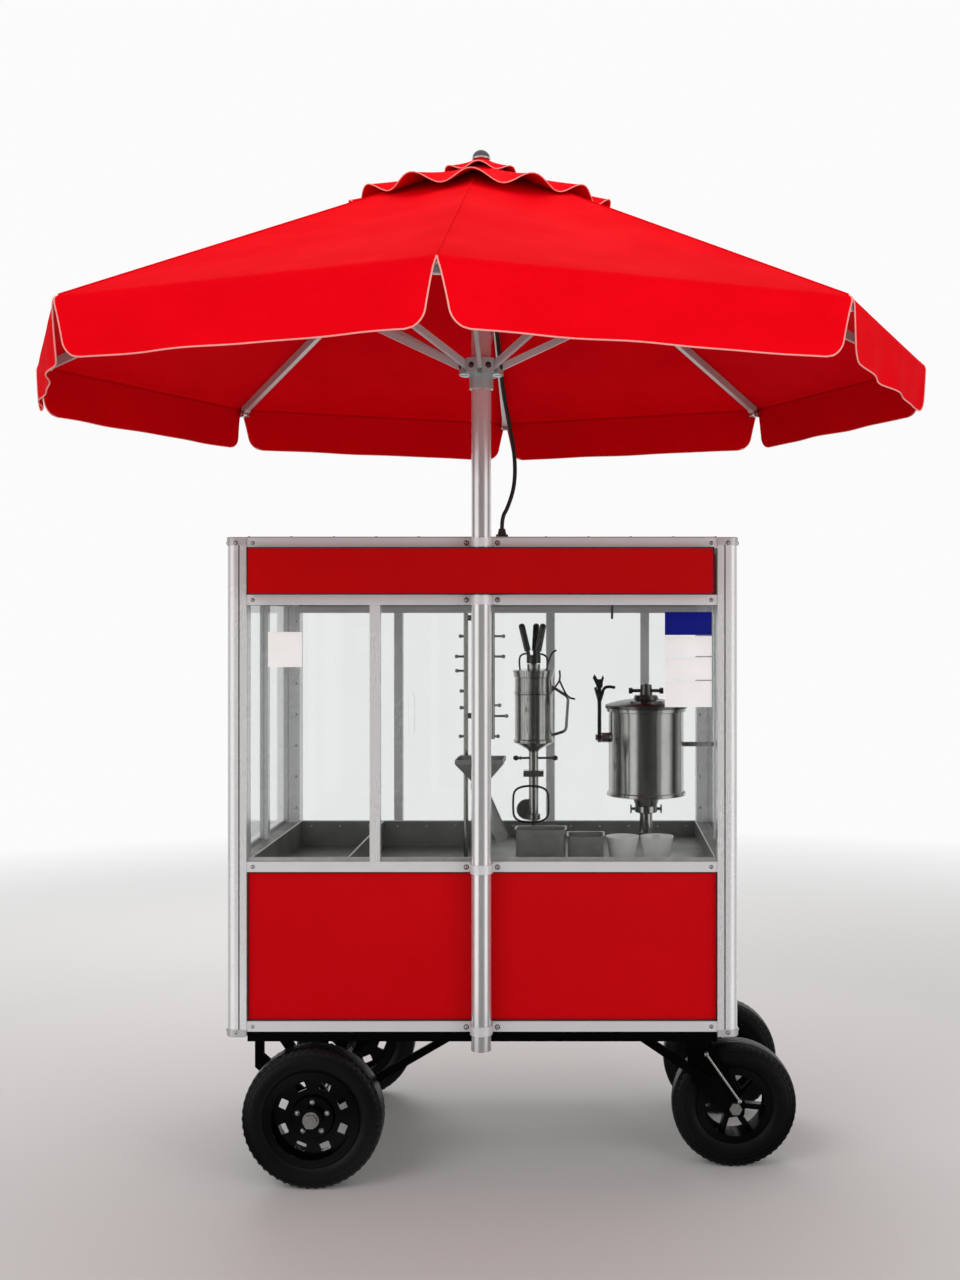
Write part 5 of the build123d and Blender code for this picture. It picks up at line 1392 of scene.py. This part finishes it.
@dataclass
class WheelTrim:
    """Tread blocks and raised lines of one tyre, with the bright nuts of a disc rim."""

    name: str
    nuts: int = 0
    outward: int = -1
    blocks: int = 54
    block_size: Point = (0.0085, 0.0115, 0.005)
    block_rise: float = 0.0012
    block_lean: float = math.radians(41.0)
    stagger: float = 0.25
    shoulder: Span = (0.0060, 0.0090)
    lines: Span = (0.16, 0.32)
    line_inset: float = 0.006
    line_tube: float = 0.0012
    wall_sink: float = 0.0008
    wall_curve: float = 0.005
    wall_span: float = 0.34
    wall_tuck: float = 0.009
    nut_circle: float = 0.038
    nut_start: float = math.radians(18.0)
    nut_face: float = 0.025
    nut_sink: float = 0.004
    nut: float = 0.0068

    def build(self) -> None:
        """Builds the blocks, lines and nuts."""
        low, high = node_box(f"{self.name}_tyre")
        middle = (low + high) / 2
        radius, half = (high.x - low.x) / 2, (high.y - low.y) / 2
        body = f"{self.name}_wheel"
        rubber = Shaper()
        self.add_blocks(rubber, middle, radius, half)
        rim_low, rim_high = node_box(f"{self.name}_rim")
        rim_radius = (rim_high.x - rim_low.x) / 2
        bulge = (radius + rim_radius) / 2
        reach = self.wall_span * (radius - rim_radius + self.wall_tuck)
        for share in self.lines:
            line = radius - share * (radius - rim_radius) - self.line_inset
            inset = self.wall_sink + self.wall_curve * ((line - bulge) / reach) ** 2
            for side in (-1, 1):
                rubber.ring(middle + Vector((0.0, side * (half - inset), 0.0)), BACK, line, self.line_tube)
        rubber.piece(f"{self.name}_tread", TYRE_RUBBER, body, "tyre_rubber")
        if self.nuts:
            self.build_nuts(middle, body)

    def add_blocks(self, rubber: Shaper, middle: Vector, radius: float, half: float) -> None:
        """Adds the blocks on both shoulders.

        Args:
            rubber: Shaper that takes them.
            middle: Middle of the tyre.
            radius: Radius of the tyre.
            half: Half its width.
        """
        for side in (-1, 1):
            for step in range(self.blocks):
                turn = FULL_TURN * (step + self.stagger * (1 + side)) / self.blocks
                outward = Vector((math.cos(turn), 0.0, math.sin(turn)))
                around = Vector((-math.sin(turn), 0.0, math.cos(turn)))
                axial = Vector((0.0, side, 0.0))
                normal = outward * math.cos(self.block_lean) + axial * math.sin(self.block_lean)
                place = middle + outward * (radius - self.shoulder[0]) + axial * (half - self.shoulder[1])
                place += normal * (self.block_rise - self.block_size[2] / 2)
                turned = Matrix((around, normal.cross(around), normal)).transposed().to_4x4()
                rubber.block(Matrix.Translation(place) @ turned, self.block_size)

    def build_nuts(self, middle: Vector, body: str) -> None:
        """Builds the bright cap nuts on the disc.

        Args:
            middle: Middle of the wheel.
            body: Body that they ride on.
        """
        caps = Shaper()
        for step in range(self.nuts):
            turn = self.nut_start + FULL_TURN * step / self.nuts
            place = middle + Vector((math.cos(turn), 0.0, -self.outward * math.sin(turn))) * self.nut_circle
            place.y += self.outward * (self.nut_face - self.nut_sink)
            caps.fasten(Head.NUT, place, (0.0, self.outward, 0.0), self.nut)
        caps.piece(f"{self.name}_nuts", AXLE_ZINC, body, "axle_steel")


@dataclass
class ForkStays:
    """Thin bright rods in front of and behind the right wheels' forks."""

    high: Span = (0.556, 0.297)
    low: Span = (0.640, 0.178)
    gap: float = 0.008
    radius: float = 0.003
    boss: float = 0.0055
    boss_rise: float = 0.004
    boss_dome: float = 0.003

    def build(self) -> None:
        """Builds one stay on the outer face of each end fork."""
        first, last = node_box("wheel_forks")
        stays = Shaper()
        for face, outward in ((first.y, -1), (last.y, 1)):
            depth = face + outward * self.gap
            ends = [Vector((across, depth, height)) for across, height in (self.high, self.low)]
            stays.rod(*ends, self.radius)
            for end in ends:
                top = end + Vector((0.0, outward * self.boss_rise, 0.0))
                stays.rod(top, end - Vector((0.0, outward * self.gap, 0.0)), self.boss)
                stays.dome(top, (0.0, outward, 0.0), self.boss, self.boss_dome)
        stays.piece("fork_stays", AXLE_ZINC, slot="axle_steel")


@dataclass
class MachineTrim:
    """Bars, wires and pans round the churro press. Wires are given by their places across and their heights."""

    press: Span = (0.115, 0.346)
    bar_height: float = 1.018
    bar_ends: Span = (0.068, 0.172)
    knob: Span = (0.007, 0.008)
    ring_inset: float = 0.012
    ring: Span = (0.0045, 0.0015)
    seam_height: float = 1.189
    seam: Span = (0.0498, 0.0012)
    wire: float = 0.003
    loop_depth: float = 0.334
    loop: tuple[Span, ...] = (
        (0.064, 0.848), (0.060, 0.8965), (0.064, 0.945), (0.152, 0.945), (0.156, 0.8965), (0.152, 0.848),
    )
    hooks: tuple[tuple[Span, ...], ...] = (
        ((0.165, 1.196), (0.176, 1.212), (0.187, 1.228), (0.184, 1.251)),
        ((0.184, 1.224), (0.192, 1.206), (0.201, 1.187), (0.213, 1.176), (0.2256, 1.175)),
        ((0.104, 1.296), (0.082, 1.297), (0.075, 1.275), (0.080, 1.246)),
        ((0.126, 1.296), (0.149, 1.294), (0.154, 1.268), (0.148, 1.246)),
        ((0.151, 1.262), (0.159, 1.288), (0.168, 1.303), (0.176, 1.304)),
    )
    hook_wire: float = 0.0026
    horn: tuple[Span, ...] = (
        (0.279, 1.206), (0.284, 1.188), (0.290, 1.166), (0.296, 1.182), (0.301, 1.204), (0.316, 1.209),
        (0.332, 1.205),
    )
    horn_wire: float = 0.0042
    pans: tuple[tuple[Point, Point], ...] = (
        ((0.071, 0.268, 0.756), (0.200, 0.338, 0.838)),
        ((0.207, 0.262, 0.756), (0.300, 0.345, 0.822)),
    )
    pan_corner: float = 0.012
    pan_foot: float = 0.006
    pan_lip: Span = (0.004, 0.001)
    pan_wall: float = 0.0014

    def build(self) -> None:
        """Builds the bars, wires and pans."""
        self.build_bar()
        depth = self.press[1]
        wire_piece("mould_loop", [self.stand(self.loop, self.loop_depth)], self.wire, closed=True)
        wire_piece("press_hooks", [self.stand(line, depth) for line in self.hooks], self.hook_wire)
        wire_piece("lever_horn", [self.stand(self.horn, depth)], self.horn_wire, "lever")
        for number, (low, high) in enumerate(self.pans):
            self.build_pan(f"press_pan_{number + 1}", Vector(low), Vector(high))

    @staticmethod
    def stand(line: Sequence[Span], depth: float) -> list[Point]:
        """Returns a flat line stood upright at a depth."""
        return [(across, depth, height) for across, height in line]

    def build_bar(self) -> None:
        """Builds the seam round the press and the cross bar with its knobs under it."""
        bar = Shaper()
        middle, depth = self.press
        left, right = self.bar_ends
        bar.rod((left, depth, self.bar_height), (right, depth, self.bar_height), self.wire)
        for end, side in ((left, -1.0), (right, 1.0)):
            axis = (side, 0.0, 0.0)
            bar.dome((end, depth, self.bar_height), axis, *self.knob)
            bar.ring((end - side * self.ring_inset, depth, self.bar_height), axis, *self.ring)
        bar.ring((middle, depth, self.seam_height), UP, *self.seam)
        bar.piece("press_cross_bar", DARK_STEEL)

    def build_pan(self, name: str, low: Vector, high: Vector) -> None:
        """Builds an open pan with rounded corners and a rolled rim.

        Args:
            name: Name of the piece.
            low: Lowest corner.
            high: Highest corner.
        """
        shell = Shaper()
        shell.box(low, high)
        bm = shell.bm
        top = [face for face in bm.faces if face.normal.z > 0.9]
        corners = [edge for edge in bm.edges if abs((edge.verts[0].co - edge.verts[1].co).z) > self.pan_corner]
        bmesh.ops.delete(bm, geom=top, context="FACES")
        shell.bevel(corners, self.pan_corner, 4)
        foot = [edge for edge in bm.edges if all(abs(vert.co.z - low.z) < 1e-6 for vert in edge.verts)]
        shell.bevel(foot, self.pan_foot, 3)
        bmesh.ops.recalc_face_normals(bm, faces=bm.faces[:])
        rim = [edge for edge in bm.edges if edge.is_boundary]
        lip = bmesh.ops.extrude_edge_only(bm, edges=rim)["geom"]
        out, up = self.pan_lip
        for spot in (part for part in lip if isinstance(part, bmesh.types.BMVert)):
            away = spot.co - (low + high) / 2
            spot.co += Vector((math.copysign(out, away.x), math.copysign(out, away.y), up))
        bmesh.ops.solidify(bm, geom=bm.faces[:], thickness=self.pan_wall)
        add_piece(name, to_mesh(bm), PAN_STEEL)


@dataclass(frozen=True)
class Softbox:
    """One square lamp, which only lights: rays from the camera and from shiny or clear things pass it."""

    name: str
    place: Point
    target: Point
    size: float
    watts: float

    def build(self) -> None:
        """Puts the lamp into the scene, facing its target."""
        lamp = bpy.data.lights.new(self.name, "AREA")
        lamp.energy, lamp.size = self.watts, self.size
        holder = bpy.data.objects.new(self.name, lamp)
        holder.location = self.place
        holder.rotation_euler = (Vector(self.target) - Vector(self.place)).to_track_quat("-Z", "Y").to_euler()
        holder.visible_camera = holder.visible_glossy = holder.visible_transmission = False
        bpy.context.scene.collection.objects.link(holder)


@dataclass
class Studio:
    """Camera at the photograph's place, pale floor and soft light."""

    camera_place: Point = (0.249, -3.534, 1.401)
    lens: float = 41.0
    sensor: float = 36.0
    shift: Span = (-0.08125, -0.0203)
    floor_size: float = 40.0
    ambient: float = 0.55
    lamps: tuple[Softbox, ...] = (
        Softbox("key softbox", (-2.6, -3.4, 3.9), (0.0, 0.2, 1.3), 2.6, 62.0),
        Softbox("fill softbox", (3.0, -3.0, 1.6), (0.0, 0.2, 1.4), 2.4, 45.0),
        Softbox("front softbox", (0.2, -4.4, 1.2), (0.0, 0.2, 1.6), 2.0, 34.0),
        Softbox("top softbox", (0.3, 0.6, 4.6), (0.0, 0.3, 1.4), 3.0, 78.0),
        Softbox("back softbox", (-1.2, 3.6, 2.6), (0.0, 0.3, 1.3), 2.4, 50.0),
    )

    def build(self) -> None:
        """Builds the camera, floor, world and lamps."""
        self.make_camera()
        self.make_floor()
        self.make_world()
        for lamp in self.lamps:
            lamp.build()

    def make_camera(self) -> None:
        """Sets the camera level, facing +Y, with the photograph's framing."""
        lens = bpy.data.cameras.new("photo camera")
        lens.lens = self.lens
        lens.sensor_width = self.sensor
        lens.shift_x, lens.shift_y = self.shift
        camera = bpy.data.objects.new("photo camera", lens)
        camera.location = self.camera_place
        camera.rotation_euler = (math.pi / 2, 0.0, 0.0)
        bpy.context.scene.collection.objects.link(camera)
        bpy.context.scene.camera = camera

    def make_floor(self) -> None:
        """Makes the floor, which is not attached to the cart."""
        bm = bmesh.new()
        bmesh.ops.create_grid(bm, x_segments=1, y_segments=1, size=self.floor_size)
        mesh = to_mesh(bm)
        mesh.materials.append(PALE_FLOOR.material())
        floor = bpy.data.objects.new("floor", mesh)
        bpy.context.scene.collection.objects.link(floor)

    def make_world(self) -> None:
        """Makes a white surround, with dark and bright walls for metal to mirror, and a plain ambient light."""
        world = bpy.data.worlds.new("studio")
        bpy.context.scene.world = world
        world.use_nodes = True
        wires = Wiring(world.node_tree)
        plain = world.node_tree.nodes["Background"]
        wires.fill(plain, {"Color": (1.0, 1.0, 1.0), "Strength": self.ambient})
        tone = SharedEffect.WALLS.place(wires, {"Vector": wires.add("TexCoord").outputs["Generated"]})
        seen = wires.add("Background", {"Color": wires.blend(wires.mirrored(), PAPER, tone), "Strength": 1.0})
        path = wires.add("LightPath").outputs
        shown = wires.math("MAXIMUM", path["Is Camera Ray"], path["Is Glossy Ray"])
        wires.show(wires.math("MAXIMUM", shown, path["Is Transmission Ray"]), plain, seen)


def dress_nodes() -> None:
    """Gives every CAD node that shows its finish."""
    for finish, nodes in FINISHED_NODES.items():
        for node in nodes:
            piece = frame["nodes"][node]
            piece.data.materials.clear()
            piece.data.materials.append(finish.material())
            LOG.info("node %s in %s", node, finish.name)


def main() -> None:
    """Builds the scene in order."""
    logging.basicConfig(level=logging.INFO, format="%(message)s")
    bpy.context.scene.view_settings.view_transform = "Standard"
    Studio().build()
    LampCord().build()
    dress_nodes()
    Parasol().build()
    VentTier("vent_ring", 2.4768, 0.312, 2.3715, 14, 0.006, 0.0135, math.pi).build()
    VentTier("vent_cap", 2.5000, 0.094, 2.4630, 7, 0.004, 0.0065, -math.pi / 2, 0.0195, 0.0190).build()
    CabinetTrim().build()
    for wheel, nuts, outward in zip(WHEELS, (5, 5, 0, 0), (-1, 1, -1, 1)):
        WheelTrim(wheel, nuts, outward).build()
    ForkStays().build()
    MachineTrim().build()


if __name__ == "__main__":
    main()
